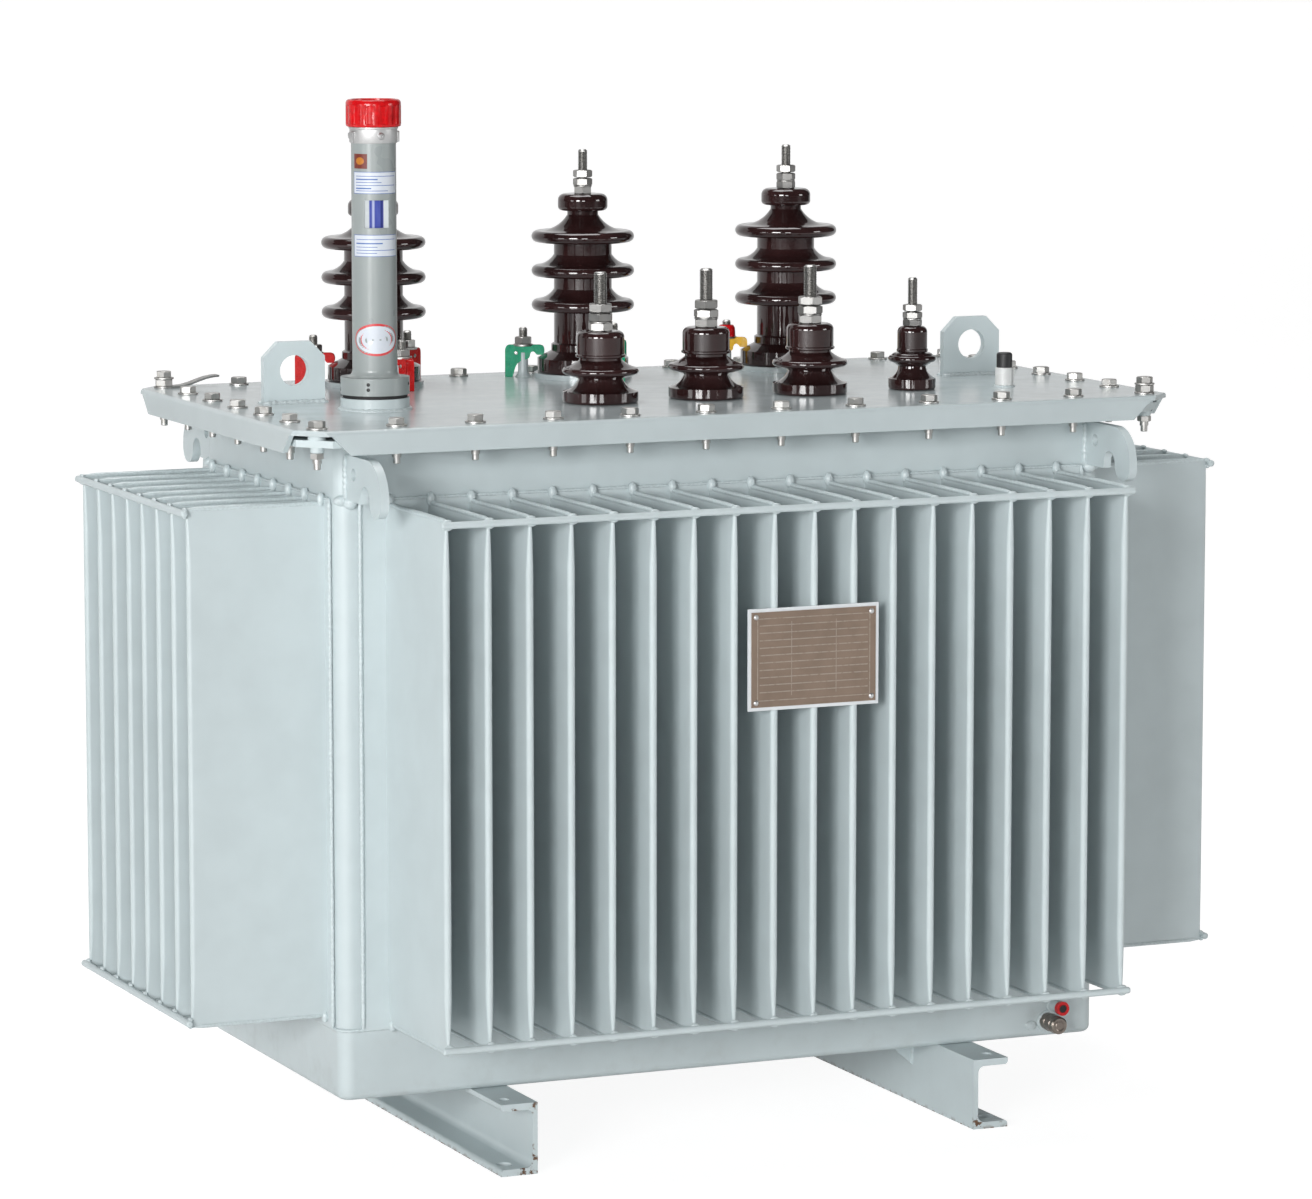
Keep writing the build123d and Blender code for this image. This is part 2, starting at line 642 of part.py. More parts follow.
def lv_porcelain(width, height):
    """The low-voltage porcelain, turned about Z, with its radii times width."""
    cap_foot = height - LV_CAP_HEIGHT
    base = LV_BASE_R * width
    neck = LV_NECK_R * width
    shed = LV_SHED_R * width
    edge_r = shed - LV_TIP_R
    cap = LV_CAP_R * width
    groove = neck - LV_GROOVE
    ridge = cap + LV_RIDGE_OUT * width
    with BuildPart() as porcelain:
        with BuildSketch(Plane.XZ):
            with BuildLine():
                Line((0, 0), (base - LV_BASE_ROUND, 0))
                RadiusArc((base - LV_BASE_ROUND, 0), (base, LV_BASE_ROUND), -LV_BASE_ROUND)
                Line((base, LV_BASE_ROUND), (base, LV_BASE_HEIGHT))
                ThreePointArc(
                    (base, LV_BASE_HEIGHT),
                    ((base + neck) / 2 - LV_BASE_SAG, LV_SHOULDER_Z),
                    (neck, LV_NECK_Z),
                )
                Line((neck, LV_NECK_Z), (edge_r, LV_SHED_Z - LV_TIP_R))
                ThreePointArc(
                    (edge_r, LV_SHED_Z - LV_TIP_R), (shed, LV_SHED_Z), (edge_r, LV_SHED_Z + LV_TIP_R)
                )
                ThreePointArc(
                    (edge_r, LV_SHED_Z + LV_TIP_R),
                    ((edge_r + neck) / 2, LV_SHED_TOP_Z),
                    (groove, cap_foot - LV_GROOVE_HEIGHT),
                )
                Polyline(
                    (groove, cap_foot - LV_GROOVE_HEIGHT),
                    (groove, cap_foot),
                    (cap, cap_foot),
                    (ridge, cap_foot + LV_RIDGE_HEIGHT / 4),
                    (ridge, cap_foot + LV_RIDGE_HEIGHT * 3 / 4),
                    (cap, cap_foot + LV_RIDGE_HEIGHT),
                    (cap, height - LV_CAP_ROUND),
                )
                RadiusArc(
                    (cap, height - LV_CAP_ROUND), (cap - LV_CAP_ROUND, height), -LV_CAP_ROUND
                )
                Polyline((cap - LV_CAP_ROUND, height), (0, height), (0, 0))
            make_face()
        revolve(axis=Axis.Z)
    return porcelain.part


def hex_nut(width, height):
    """A hexagonal nut with its corners turned off, standing on the XY plane."""
    corner = width / math.sqrt(3)
    drop = NUT_CHAMFER_SHARE * (corner - width / 2)
    with BuildPart() as nut:
        with BuildSketch():
            RegularPolygon(width / 2, 6, major_radius=False)
        extrude(amount=height)
        with BuildSketch(Plane.XZ):
            Polygon(
                (0, 0),
                (width / 2, 0),
                (corner, drop),
                (corner, height - drop),
                (width / 2, height),
                (0, height),
                align=None,
            )
        revolve(axis=Axis.Z, mode=Mode.INTERSECT)
    return nut.part


def terminal(stud_r, top, foot, nut_width, nut_height):
    """A threaded stud with its stack of nuts, standing on the XY plane at foot."""
    nut = hex_nut(nut_width, nut_height)
    with BuildPart() as stud:
        with BuildSketch(Plane.XY.offset(foot)):
            Circle(stud_r)
        extrude(amount=top - foot)
        chamfer(stud.faces().sort_by(Axis.Z)[-1].edges(), STUD_CHAMFER)
        for number in range(NUT_COUNT):
            level = foot + number * nut_height
            with Locations(Location((0, 0, level), (0, 0, NUT_TURN * number))):
                add(nut)
    return stud.part


hv_body = hv_porcelain()
hv_stud = terminal(HV_STUD_R, HV_STUD_TOP, HV_HEIGHT, HV_NUT_WIDTH, HV_NUT_HEIGHT)
for letter, place in HV_PLACES.items():
    with BuildPart() as hv_bushing:
        with Locations((*place, HV_SEAT_Z)):
            add(hv_body)
    save(hv_bushing, f"hv_bushing_{letter}")
with BuildPart() as hv_terminals:
    with Locations(*[(*place, HV_SEAT_Z) for place in HV_PLACES.values()]):
        add(hv_stud)
save(hv_terminals, "hv_terminals")

lv_body = lv_porcelain(1.0, LV_HEIGHT)
neutral_body = lv_porcelain(NEUTRAL_SCALE, NEUTRAL_HEIGHT)
lv_stud = terminal(LV_STUD_R, LV_STUD_TOP, LV_HEIGHT, LV_NUT_WIDTH, LV_NUT_HEIGHT)
neutral_stud = terminal(
    NEUTRAL_STUD_R, NEUTRAL_STUD_TOP, NEUTRAL_HEIGHT, NEUTRAL_NUT_WIDTH, NEUTRAL_NUT_HEIGHT
)
for letter, place in LV_PLACES.items():
    with BuildPart() as lv_bushing:
        with Locations((*place, COVER_TOP_Z)):
            add(lv_body)
    save(lv_bushing, f"lv_bushing_{letter}")
with BuildPart() as neutral_bushing:
    with Locations((*NEUTRAL_PLACE, COVER_TOP_Z)):
        add(neutral_body)
save(neutral_bushing, "neutral_bushing")
with BuildPart() as lv_terminals:
    with Locations(*[(*place, COVER_TOP_Z) for place in LV_PLACES.values()]):
        add(lv_stud)
    with Locations((*NEUTRAL_PLACE, COVER_TOP_Z)):
        add(neutral_stud)
save(lv_terminals, "lv_terminals")


def bushing_clamp():
    """A coated claw on its stud and spacer, at the origin, with its nose towards -X."""
    nose_z = HV_SEAT_HEIGHT + CLAMP_NOSE_RISE
    lip_x = CLAMP_LIP - CLAMP_NOSE
    with BuildPart() as claw:
        with BuildSketch(Plane.XZ.offset(-CLAMP_THICK / 2)) as claw_face:
            with BuildLine():
                Polyline(
                    (CLAMP_HEEL, 0),
                    (CLAMP_HEEL, CLAMP_TOP),
                    (-CLAMP_NOSE, CLAMP_TOP),
                    (-CLAMP_NOSE, nose_z),
                    (lip_x, nose_z),
                )
                ThreePointArc(
                    (lip_x, nose_z), (lip_x / 2, CLAMP_ARCH_Z), (-CLAMP_LEG, CLAMP_CROTCH_Z)
                )
                Spline(
                    (-CLAMP_LEG, CLAMP_CROTCH_Z),
                    (CLAMP_SPACER_R, CLAMP_KNEE_Z),
                    (CLAMP_HEEL - CLAMP_LEG, 0),
                    tangents=((1, -0.3), (0.1, -1)),
                )
                Line((CLAMP_HEEL - CLAMP_LEG, 0), (CLAMP_HEEL, 0))
            make_face()
            fillet(claw_face.vertices().group_by(Axis.Y)[-1], CLAMP_TOP_ROUND)
            nose_tip = claw_face.vertices().sort_by(Axis.X).filter_by_position(
                Axis.Y, nose_z - TOUCH, nose_z + TOUCH
            )[0]
            fillet(nose_tip, CLAMP_NOSE_ROUND)
        extrude(amount=CLAMP_THICK)
    with BuildPart() as post:
        with BuildSketch(Plane.XY):
            Circle(CLAMP_STUD_R)
        extrude(amount=CLAMP_STUD_TOP)
        with BuildSketch(Plane.XY):
            Circle(CLAMP_SPACER_R)
        extrude(amount=CLAMP_SPACER_HEIGHT)
        with BuildSketch(Plane.XY.offset(CLAMP_TOP)):
            Circle(CLAMP_WASHER_R)
        extrude(amount=CLAMP_WASHER_THICK)
        with Locations((0, 0, CLAMP_TOP + CLAMP_WASHER_THICK)):
            add(hex_nut(CLAMP_NUT_WIDTH, CLAMP_NUT_HEIGHT))
    with BuildPart() as clamp:
        add(claw.part)
        add(post.part)
    return clamp.part


clamp_body = bushing_clamp()
for letter, place in HV_PLACES.items():
    with BuildPart() as hv_clamps:
        for angle in CLAMP_ANGLES:
            clamp_x = place[0] + CLAMP_RADIUS * math.cos(math.radians(angle))
            clamp_y = place[1] + CLAMP_RADIUS * math.sin(math.radians(angle))
            with Locations(Location((clamp_x, clamp_y, COVER_TOP_Z), (0, 0, angle))):
                add(clamp_body)
    save(hv_clamps, f"hv_clamps_{letter}")

# Oil gauge: foot, seal, tube, clamp ring and ribbed relief cap
SEAL_Z = COVER_TOP_Z + GAUGE_FOOT_HEIGHT
GAUGE_FLANGE_Z = SEAL_Z + GAUGE_SEAL_HEIGHT
RING_Z = COVER_TOP_Z + GAUGE_TUBE_TOP
CAP_Z = RING_Z + GAUGE_RING_HEIGHT
window_turn = math.radians(GAUGE_WINDOW_ANGLE)
window_plane = Plane(
    origin=(GAUGE_X, GAUGE_Y, COVER_TOP_Z + GAUGE_WINDOW_Z),
    x_dir=(-math.sin(window_turn), math.cos(window_turn), 0),
    z_dir=(math.cos(window_turn), math.sin(window_turn), 0),
)

with BuildPart() as gauge_foot:
    with BuildSketch(Plane.XY.offset(COVER_TOP_Z)):
        with Locations((GAUGE_X, GAUGE_Y)):
            Circle(GAUGE_FOOT_R)
    extrude(amount=GAUGE_FOOT_HEIGHT)
save(gauge_foot, "gauge_foot")

with BuildPart() as gauge_seal:
    with BuildSketch(Plane.XY.offset(SEAL_Z)):
        with Locations((GAUGE_X, GAUGE_Y)):
            Circle(GAUGE_SEAL_R)
    extrude(amount=GAUGE_SEAL_HEIGHT)
save(gauge_seal, "gauge_seal")

with BuildPart() as gauge_tube:
    with BuildSketch(Plane.XY.offset(GAUGE_FLANGE_Z)):
        with Locations((GAUGE_X, GAUGE_Y)):
            Circle(GAUGE_FOOT_R)
    extrude(amount=GAUGE_FLANGE_HEIGHT)
    with BuildSketch(Plane.XY.offset(GAUGE_FLANGE_Z + GAUGE_FLANGE_HEIGHT)):
        with Locations((GAUGE_X, GAUGE_Y)):
            Circle(GAUGE_TUBE_R)
    extrude(amount=RING_Z - GAUGE_FLANGE_Z - GAUGE_FLANGE_HEIGHT)
    root = (
        gauge_tube.edges()
        .filter_by(GeomType.CIRCLE)
        .filter_by(lambda edge: abs(edge.radius - GAUGE_TUBE_R) < TOUCH)
        .sort_by(Axis.Z)[0]
    )
    fillet(root, GAUGE_FILLET)
    with BuildSketch(window_plane.offset(GAUGE_TUBE_R - GAUGE_WINDOW_DEPTH)):
        Rectangle(GAUGE_WINDOW_WIDTH, GAUGE_WINDOW_HEIGHT)
    extrude(amount=GAUGE_TUBE_R, mode=Mode.SUBTRACT)
save(gauge_tube, "gauge_tube")

with BuildPart() as gauge_glass:
    with BuildSketch(window_plane.offset(GAUGE_TUBE_R - GAUGE_WINDOW_DEPTH)):
        Rectangle(GAUGE_WINDOW_WIDTH, GAUGE_WINDOW_HEIGHT)
    extrude(amount=GAUGE_GLASS_THICK)
save(gauge_glass, "gauge_glass")

with BuildPart() as gauge_ring:
    with BuildSketch(Plane.XY.offset(RING_Z)):
        with Locations((GAUGE_X, GAUGE_Y)):
            Circle(GAUGE_RING_R)
    extrude(amount=GAUGE_RING_HEIGHT)
    chamfer(gauge_ring.edges().filter_by(GeomType.CIRCLE), GAUGE_RING_CHAMFER)
    with BuildSketch(Plane.XY.offset(RING_Z + RING_LUG_RISE)):
        with Locations(
            *[Location((GAUGE_X, GAUGE_Y, 0), (0, 0, angle)) for angle in RING_LUG_ANGLES]
        ):
            with Locations((GAUGE_RING_R - RING_LUG_OUT, 0)):
                Rectangle(2 * RING_LUG_OUT + RING_LUG_OUT, RING_LUG_WIDTH)
    extrude(amount=RING_LUG_HEIGHT)
save(gauge_ring, "gauge_ring")

with BuildPart() as relief_cap:
    with BuildSketch(Plane.XY.offset(CAP_Z)):
        with Locations((GAUGE_X, GAUGE_Y)):
            Circle(GAUGE_CAP_R)
    extrude(amount=GAUGE_CAP_HEIGHT)
    fillet(relief_cap.faces().sort_by(Axis.Z)[-1].edges(), GAUGE_CAP_ROUND)
    with BuildSketch(Plane.XY.offset(CAP_Z + GAUGE_CAP_HEIGHT - GAUGE_CAP_DISH)):
        with Locations((GAUGE_X, GAUGE_Y)):
            Circle(GAUGE_CAP_DISH_R)
    extrude(amount=GAUGE_CAP_DISH, mode=Mode.SUBTRACT)
    with BuildSketch(Plane.XY.offset(CAP_Z + FLUTE_RISE)):
        with Locations((GAUGE_X, GAUGE_Y)):
            with PolarLocations(GAUGE_CAP_R + FLUTE_R - FLUTE_DEPTH, FLUTE_COUNT):
                Circle(FLUTE_R)
    extrude(amount=GAUGE_CAP_HEIGHT - FLUTE_TOP_DROP - FLUTE_RISE, mode=Mode.SUBTRACT)
save(relief_cap, "relief_cap")

# Thermometer pocket with its plug
with BuildPart() as thermometer_pocket:
    with BuildSketch(Plane.XY.offset(COVER_TOP_Z)):
        with Locations((POCKET_X, POCKET_Y)):
            Circle(POCKET_R)
    extrude(amount=POCKET_HEIGHT)
    chamfer(thermometer_pocket.faces().sort_by(Axis.Z)[-1].edges(), POCKET_CHAMFER)
save(thermometer_pocket, "thermometer_pocket")

with BuildPart() as pocket_plug:
    with BuildSketch(Plane.XY.offset(COVER_TOP_Z + POCKET_HEIGHT)):
        with Locations((POCKET_X, POCKET_Y)):
            Circle(POCKET_CAP_R)
    extrude(amount=POCKET_CAP_HEIGHT)
    fillet(pocket_plug.faces().sort_by(Axis.Z)[-1].edges(), POCKET_CAP_ROUND)
save(pocket_plug, "pocket_plug")

# Drain plug and the sampling spout above it, both on the front of the bottom box
with BuildPart() as drain_valve:
    with BuildSketch(Plane.XZ.offset(-FRONT_Y)):
        with Locations((DRAIN_X, DRAIN_Z)):
            Circle(DRAIN_R)
    extrude(amount=DRAIN_REACH)
    chamfer(drain_valve.faces().sort_by(Axis.Y)[0].edges(), DRAIN_CHAMFER)
save(drain_valve, "drain_valve")

with BuildPart() as oil_sampler:
    with BuildSketch(Plane.XZ.offset(-FRONT_Y)):
        with Locations((DRAIN_X + SAMPLER_DX, DRAIN_Z + SAMPLER_DZ)):
            Circle(SAMPLER_R)
    extrude(amount=SAMPLER_REACH)
save(oil_sampler, "oil_sampler")

with BuildPart() as sampler_cap:
    with BuildSketch(Plane.XZ.offset(-FRONT_Y + SAMPLER_REACH)):
        with Locations((DRAIN_X + SAMPLER_DX, DRAIN_Z + SAMPLER_DZ)):
            Circle(SAMPLER_CAP_R)
    extrude(amount=SAMPLER_CAP_DEPTH)
    with BuildSketch(Plane.XZ.offset(-FRONT_Y + SAMPLER_REACH + SAMPLER_CAP_DEPTH)):
        with Locations((DRAIN_X + SAMPLER_DX, DRAIN_Z + SAMPLER_DZ)):
            Circle(SAMPLER_DISH_R)
    extrude(amount=-SAMPLER_DISH, mode=Mode.SUBTRACT)
save(sampler_cap, "sampler_cap")

# Rating plate on its backing, held on the noses of the fins
PLATE_BACK_Y = TANK_WIDTH / 2 + WALL_SHEET + LONG_FIN_REACH
with BuildPart() as plate_backing:
    with BuildSketch(Plane.XZ.offset(PLATE_BACK_Y)):
        with Locations((PLATE_X, PLATE_Z)):
            Rectangle(PLATE_WIDTH, PLATE_HEIGHT)
    extrude(amount=PLATE_THICK)
save(plate_backing, "plate_backing")

with BuildPart() as rating_plate:
    with BuildSketch(Plane.XZ.offset(PLATE_BACK_Y + PLATE_THICK)):
        with Locations((PLATE_X, PLATE_Z)):
            Rectangle(PLATE_WIDTH - 2 * PLATE_RIM, PLATE_HEIGHT - 2 * PLATE_RIM)
    extrude(amount=PLATE_FACE_THICK)
save(rating_plate, "rating_plate")

# Earth strap: a tinned strip bent up from the corner bolt
with BuildPart() as earth_strap:
    with BuildSketch(Plane.XZ.offset(-STRAP_Y - STRAP_WIDTH / 2)):
        with BuildLine():
            foot_end = STRAP_X + STRAP_WIDTH
            tip_x = STRAP_X + STRAP_REACH
            low = COVER_TOP_Z
            high = COVER_TOP_Z + STRAP_RISE
            heel_x = STRAP_X - STRAP_WIDTH / 2
            Line((heel_x, low), (foot_end, low))
            Spline((foot_end, low), (tip_x, high), tangents=((1, 0), (1, 0)))
            Line((tip_x, high), (tip_x, high + STRAP_THICK))
            Spline(
                (tip_x, high + STRAP_THICK),
                (foot_end, low + STRAP_THICK),
                tangents=((-1, 0), (-1, 0)),
            )
            Polyline((foot_end, low + STRAP_THICK), (heel_x, low + STRAP_THICK), (heel_x, low))
        make_face()
    extrude(amount=STRAP_WIDTH)
save(earth_strap, "earth_strap")
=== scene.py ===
"""Looks for a sealed oil-filled transformer: finishes, fasteners, welds and fittings.

Every length is in metres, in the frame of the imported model: +X to the right along
the front, +Y to the back, +Z up.
"""

import math
import random

import bmesh
import bpy
from bpy.props import FloatProperty, FloatVectorProperty, IntProperty, PointerProperty
from mathutils import Matrix, Vector


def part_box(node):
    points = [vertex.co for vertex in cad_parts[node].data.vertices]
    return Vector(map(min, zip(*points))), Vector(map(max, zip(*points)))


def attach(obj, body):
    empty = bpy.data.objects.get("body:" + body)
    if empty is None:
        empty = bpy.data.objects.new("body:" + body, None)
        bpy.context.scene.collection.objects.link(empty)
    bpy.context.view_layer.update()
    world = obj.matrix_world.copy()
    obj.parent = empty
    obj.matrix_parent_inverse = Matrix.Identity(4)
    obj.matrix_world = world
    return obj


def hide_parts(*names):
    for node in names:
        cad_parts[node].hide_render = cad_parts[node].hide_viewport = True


bl_info = {
    "name": "Oil-filled transformer",
    "version": (1, 0, 0),
    "blender": (4, 5, 0),
    "location": "3D View > Sidebar > Transformer",
    "description": "Dresses the transformer's frame with finishes, fasteners, welds and fittings",
    "category": "Add Mesh",
}

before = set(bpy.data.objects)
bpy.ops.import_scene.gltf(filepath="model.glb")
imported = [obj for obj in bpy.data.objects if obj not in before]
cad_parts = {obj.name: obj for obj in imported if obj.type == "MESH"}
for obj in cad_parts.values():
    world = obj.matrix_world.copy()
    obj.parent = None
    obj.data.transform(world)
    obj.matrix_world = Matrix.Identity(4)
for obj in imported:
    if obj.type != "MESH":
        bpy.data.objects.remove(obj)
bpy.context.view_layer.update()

COVER_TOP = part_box("cover_gasket")[1].z + 0.006
COVER_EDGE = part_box("tank_cover")[1]
FLANGE_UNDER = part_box("tank_flange")[0].z
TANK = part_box("tank_body")[1]
SEAM_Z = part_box("tank_bottom")[1].z
SIDES = (-1, 1)

# Fins: how many, how far apart, where their roots are, and their lowest and highest level
LONG_FINS, LONG_PITCH, LONG_ROOT, LONG_LOW = 18, 0.05, 0.230, 0.171
SIDE_FINS, SIDE_PITCH, SIDE_ROOT, SIDE_LOW = 8, 0.0536, 0.489, 0.179
FIN_TOP = 0.7712

# Corrugated walls: half their widths, and the levels of their lower and upper seam
LONG_PANEL, SIDE_PANEL = 0.460, 0.207
PANEL_LOW, PANEL_HIGH = 0.168, 0.777

HOOK_X = 0.471
BOX_FACE_Y = -0.2273
SKID_TOP = 0.0845
GUSSET_Y = 0.147
TUBE_RADIUS = 0.0260
CAP_RADIUS = 0.0320
CLAMP_REACH = 0.0735


def middle(node):
    """The middle of a node's box, as a vector."""
    low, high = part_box(node)
    return (low + high) / 2


# Sizes and colours


def paint_setting(name, description, default):
    """A colour that a user can change."""
    return FloatVectorProperty(
        name=name, description=description, subtype="COLOR", size=3, min=0, max=1, default=default
    )


def length_setting(name, description, default):
    """A length in metres that a user can change."""
    return FloatProperty(
        name=name, description=description, subtype="DISTANCE", unit="LENGTH", min=0.001, default=default
    )


def share_setting(name, description, default):
    """A strength that a user can change."""
    return FloatProperty(
        name=name, description=description, subtype="FACTOR", min=0, soft_max=3, default=default
    )


class PaintSettings(bpy.types.PropertyGroup):
    """Colours of the painted and plated surfaces."""

    tank: paint_setting("Tank paint", "Enamel on the tank, fins and skids", (0.53, 0.600, 0.614))
    gauge: paint_setting("Gauge paint", "Enamel on the gauge tube", (0.310, 0.343, 0.341))
    glaze: paint_setting("Glaze", "Brown glaze of the porcelain", (0.026, 0.0105, 0.0105))
    zinc: paint_setting("Zinc", "Plating on bolts and nuts", (0.50, 0.494, 0.48))
    tin: paint_setting("Tin", "Plating on the terminal studs", (0.40, 0.395, 0.385))
    cap: paint_setting("Caps", "Red plastic of the gauge's and sampler's caps", (0.60, 0.007, 0.010))
    first_phase: paint_setting("First phase", "Coating of the left clamps", (0.58, 0.012, 0.012))
    second_phase: paint_setting("Second phase", "Coating of the middle clamps", (0.006, 0.34, 0.175))
    third_phase: paint_setting("Third phase", "Coating of the right clamps", (0.74, 0.42, 0.010))
    plate: paint_setting("Plate", "Bronze face of the rating plate", (0.240, 0.177, 0.134))


class FastenerSettings(bpy.types.PropertyGroup):
    """Sizes of the cover bolts."""

    along_front: IntProperty(
        name="Bolts along the front", description="Cover bolts in the front row, corners included",
        min=2, default=12,
    )
    along_side: IntProperty(
        name="Bolts along a side", description="Cover bolts in a side row, corners included",
        min=2, default=7,
    )
    edge: length_setting("Edge distance", "From the cover's edge to the middle of a bolt", 0.0302)
    across: length_setting("Across flats", "Width of a bolt's head across its flats", 0.0172)
    head: length_setting("Head height", "Height of a bolt's head", 0.0075)


class WeldSettings(bpy.types.PropertyGroup):
    """Sizes of the weld beads."""

    seam: length_setting("Seam width", "Width of the beads along the tank", 0.0052)
    ripple: length_setting("Ripple", "Distance from one ripple of a bead to the next", 0.0066)
    seed: IntProperty(name="Seed", description="Seed of the unevenness", min=0, default=11)


class StageSettings(bpy.types.PropertyGroup):
    """Camera and lamps."""

    lens: FloatProperty(
        name="Lens", description="Focal length of the camera in millimetres", min=10, default=154.914
    )
    lamp: share_setting("Lamps", "Strength of the soft lamps", 1.0)
    sky: share_setting("Sky", "Strength of the light from all round", 0.05)


# Shader maths


class Signal:
    """A shader socket that takes Python's signs for maths."""

    def __init__(self, graph, socket):
        self.graph = graph
        self.socket = socket

    def maths(self, operation, *inputs):
        """The result of a Math node on its inputs, in order."""
        return self.graph.node("ShaderNodeMath", {"operation": operation}, dict(enumerate(inputs))).out(0)

    def __add__(self, other):
        return self.maths("ADD", self, other)

    def __radd__(self, other):
        return self.maths("ADD", other, self)

    def __sub__(self, other):
        return self.maths("SUBTRACT", self, other)

    def __rsub__(self, other):
        return self.maths("SUBTRACT", other, self)

    def __mul__(self, other):
        return self.maths("MULTIPLY", self, other)

    def __rmul__(self, other):
        return self.maths("MULTIPLY", other, self)

    def __truediv__(self, other):
        return self.maths("DIVIDE", self, other)

    def __rtruediv__(self, other):
        return self.maths("DIVIDE", other, self)

    def __gt__(self, other):
        return self.maths("GREATER_THAN", self, other)

    def __lt__(self, other):
        return self.maths("LESS_THAN", self, other)

    def __abs__(self):
        return self.maths("ABSOLUTE", self)

    def fraction(self):
        """What is left of it above the whole number below."""
        return self.maths("FRACT", self)

    def most(self, other):
        """The larger of two signals."""
        return self.maths("MAXIMUM", self, other)

    def ramp(self, low, high):
        """0 below low, 1 above high and smooth in between."""
        sockets = {"Value": self, "From Min": low, "From Max": high}
        settings = {"interpolation_type": "SMOOTHSTEP", "clamp": True}
        return self.graph.node("ShaderNodeMapRange", settings, sockets).out(0)


class MadeNode:
    """A node that was added, with its outputs as signals."""

    def __init__(self, graph, node):
        self.graph = graph
        self.node = node

    def out(self, name):
        """One of its outputs."""
        return Signal(self.graph, self.node.outputs[name])


class Graph:
    """A node tree under construction."""

    def __init__(self, tree):
        self.tree = tree
        tree.nodes.clear()

    def node(self, kind, settings=None, sockets=None):
        """Add a node: its settings first, then the numbers, colours or links of its sockets."""
        made = self.tree.nodes.new(kind)
        for name, setting in (settings or {}).items():
            setattr(made, name, setting)
        for name, given in (sockets or {}).items():
            if isinstance(given, Signal):
                self.tree.links.new(given.socket, made.inputs[name])
            else:
                made.inputs[name].default_value = given
        return MadeNode(self, made)

    def parts(self, vector):
        """The three numbers of a vector."""
        split = self.node("ShaderNodeSeparateXYZ", None, {"Vector": vector})
        return [split.out(axis) for axis in "XYZ"]


class Finish(Graph):
    """A material under construction."""

    def __init__(self, name):
        self.material = bpy.data.materials.new(name)
        self.material.use_nodes = True
        super().__init__(self.material.node_tree)
        self.place = self.node("ShaderNodeTexCoord").out("Object")

    def noise(self, scale, detail=2.0, roughness=0.5, stretch=None):
        """Soft noise from 0 to 1, scale to the metre."""
        place = self.place
        if stretch:
            sockets = {"Vector": place, "Scale": stretch}
            place = self.node("ShaderNodeMapping", {"vector_type": "POINT"}, sockets).out(0)
        sockets = {"Vector": place, "Scale": scale, "Detail": detail, "Roughness": roughness}
        return self.node("ShaderNodeTexNoise", None, sockets).out(0)

    def facing(self):
        """Which way the surface faces, as three signals."""
        return self.parts(self.node("ShaderNodeNewGeometry").out("Normal"))

    def blend(self, mask, under, over):
        """One colour over another by a mask."""
        colours = {0: mask, 6: colour(under), 7: colour(over)}
        return self.node("ShaderNodeMix", {"data_type": "RGBA"}, colours).out(2)

    def bump(self, height, distance, strength=1.0, under=None):
        """A normal from a height signal of 0 to 1 that stands for a distance."""
        sockets = {"Height": height, "Distance": distance, "Strength": strength}
        if under:
            sockets["Normal"] = under
        return self.node("ShaderNodeBump", None, sockets).out(0)

    def surface(self, **given):
        """Close the material with a Principled surface. Names take spaces for underscores."""
        sockets = {name.replace("_", " "): value for name, value in given.items()}
        sockets["Base Color"] = colour(sockets["Base Color"])
        body = self.node("ShaderNodeBsdfPrincipled", None, sockets).out(0)
        self.node("ShaderNodeOutputMaterial", None, {"Surface": body})


def colour(given):
    """A colour with its alpha, or a link as it is."""
    if isinstance(given, Signal):
        return given
    return (*tuple(given)[:3], 1.0)


def tint(base, share):
    """A lighter or darker shade of a colour."""
    return tuple(min(1.0, part * share) for part in tuple(base)[:3])


# Finishes


def sheet_waves(finish, rough_low, rough_high, orange_peel):
    """The unevenness that all the enamel shares: colour mask, roughness and normal."""
    cloud = finish.noise(3.2, 3.0, 0.55)
    patch = finish.noise(23.0, 2.0, 0.5)
    peel = finish.noise(520.0, 2.0, 0.5)
    shade = cloud * 0.6 + patch * 0.4
    rough = rough_low + (rough_high - rough_low) * shade.ramp(0.3, 0.7)
    waves = finish.bump(finish.noise(9.0, 1.0, 0.4), 0.0006)
    normal = finish.bump(peel, orange_peel, 0.6, waves)
    return shade, rough, normal


def enamel(name, base, rough_low=0.30, rough_high=0.42, orange_peel=0.00008, dusty=0.06):
    """Sprayed enamel over sheet steel, a little cloudy, with orange peel and dust."""
    finish = Finish(name)
    shade, rough, normal = sheet_waves(finish, rough_low, rough_high, orange_peel)
    _, _, up = finish.facing()
    dust = up.ramp(0.55, 0.98) * finish.noise(34.0, 5.0, 0.62).ramp(0.40, 0.80) * dusty
    tone = finish.blend(shade.ramp(0.32, 0.68), tint(base, 0.955), tint(base, 1.035))
    tone = finish.blend(dust, tone, (0.62, 0.61, 0.57))
    finish.surface(
        Base_Color=tone, Roughness=rough + dust, Normal=normal, Coat_Weight=0.18, Coat_Roughness=0.22
    )


def tank_enamel(name, base):
    """Enamel, faintly darker in patches towards the bottom of the body."""
    finish = Finish(name)
    shade, rough, normal = sheet_waves(finish, 0.32, 0.44, 0.00008)
    _, _, level = finish.parts(finish.place)
    low = 1.0 - level.ramp(0.08, 0.22)
    # Faint darker grey patches towards the bottom of the body, a little rougher there too.
    darker_low = low * finish.noise(38.0, 5.0, 0.62).ramp(0.45, 0.75) * 0.16
    tone = finish.blend(shade.ramp(0.32, 0.68), tint(base, 0.955), tint(base, 1.035))
    tone = finish.blend(darker_low, tone, (0.33, 0.33, 0.31))
    finish.surface(
        Base_Color=tone, Roughness=rough + darker_low * 0.8, Normal=normal, Coat_Weight=0.15,
        Coat_Roughness=0.25,
    )


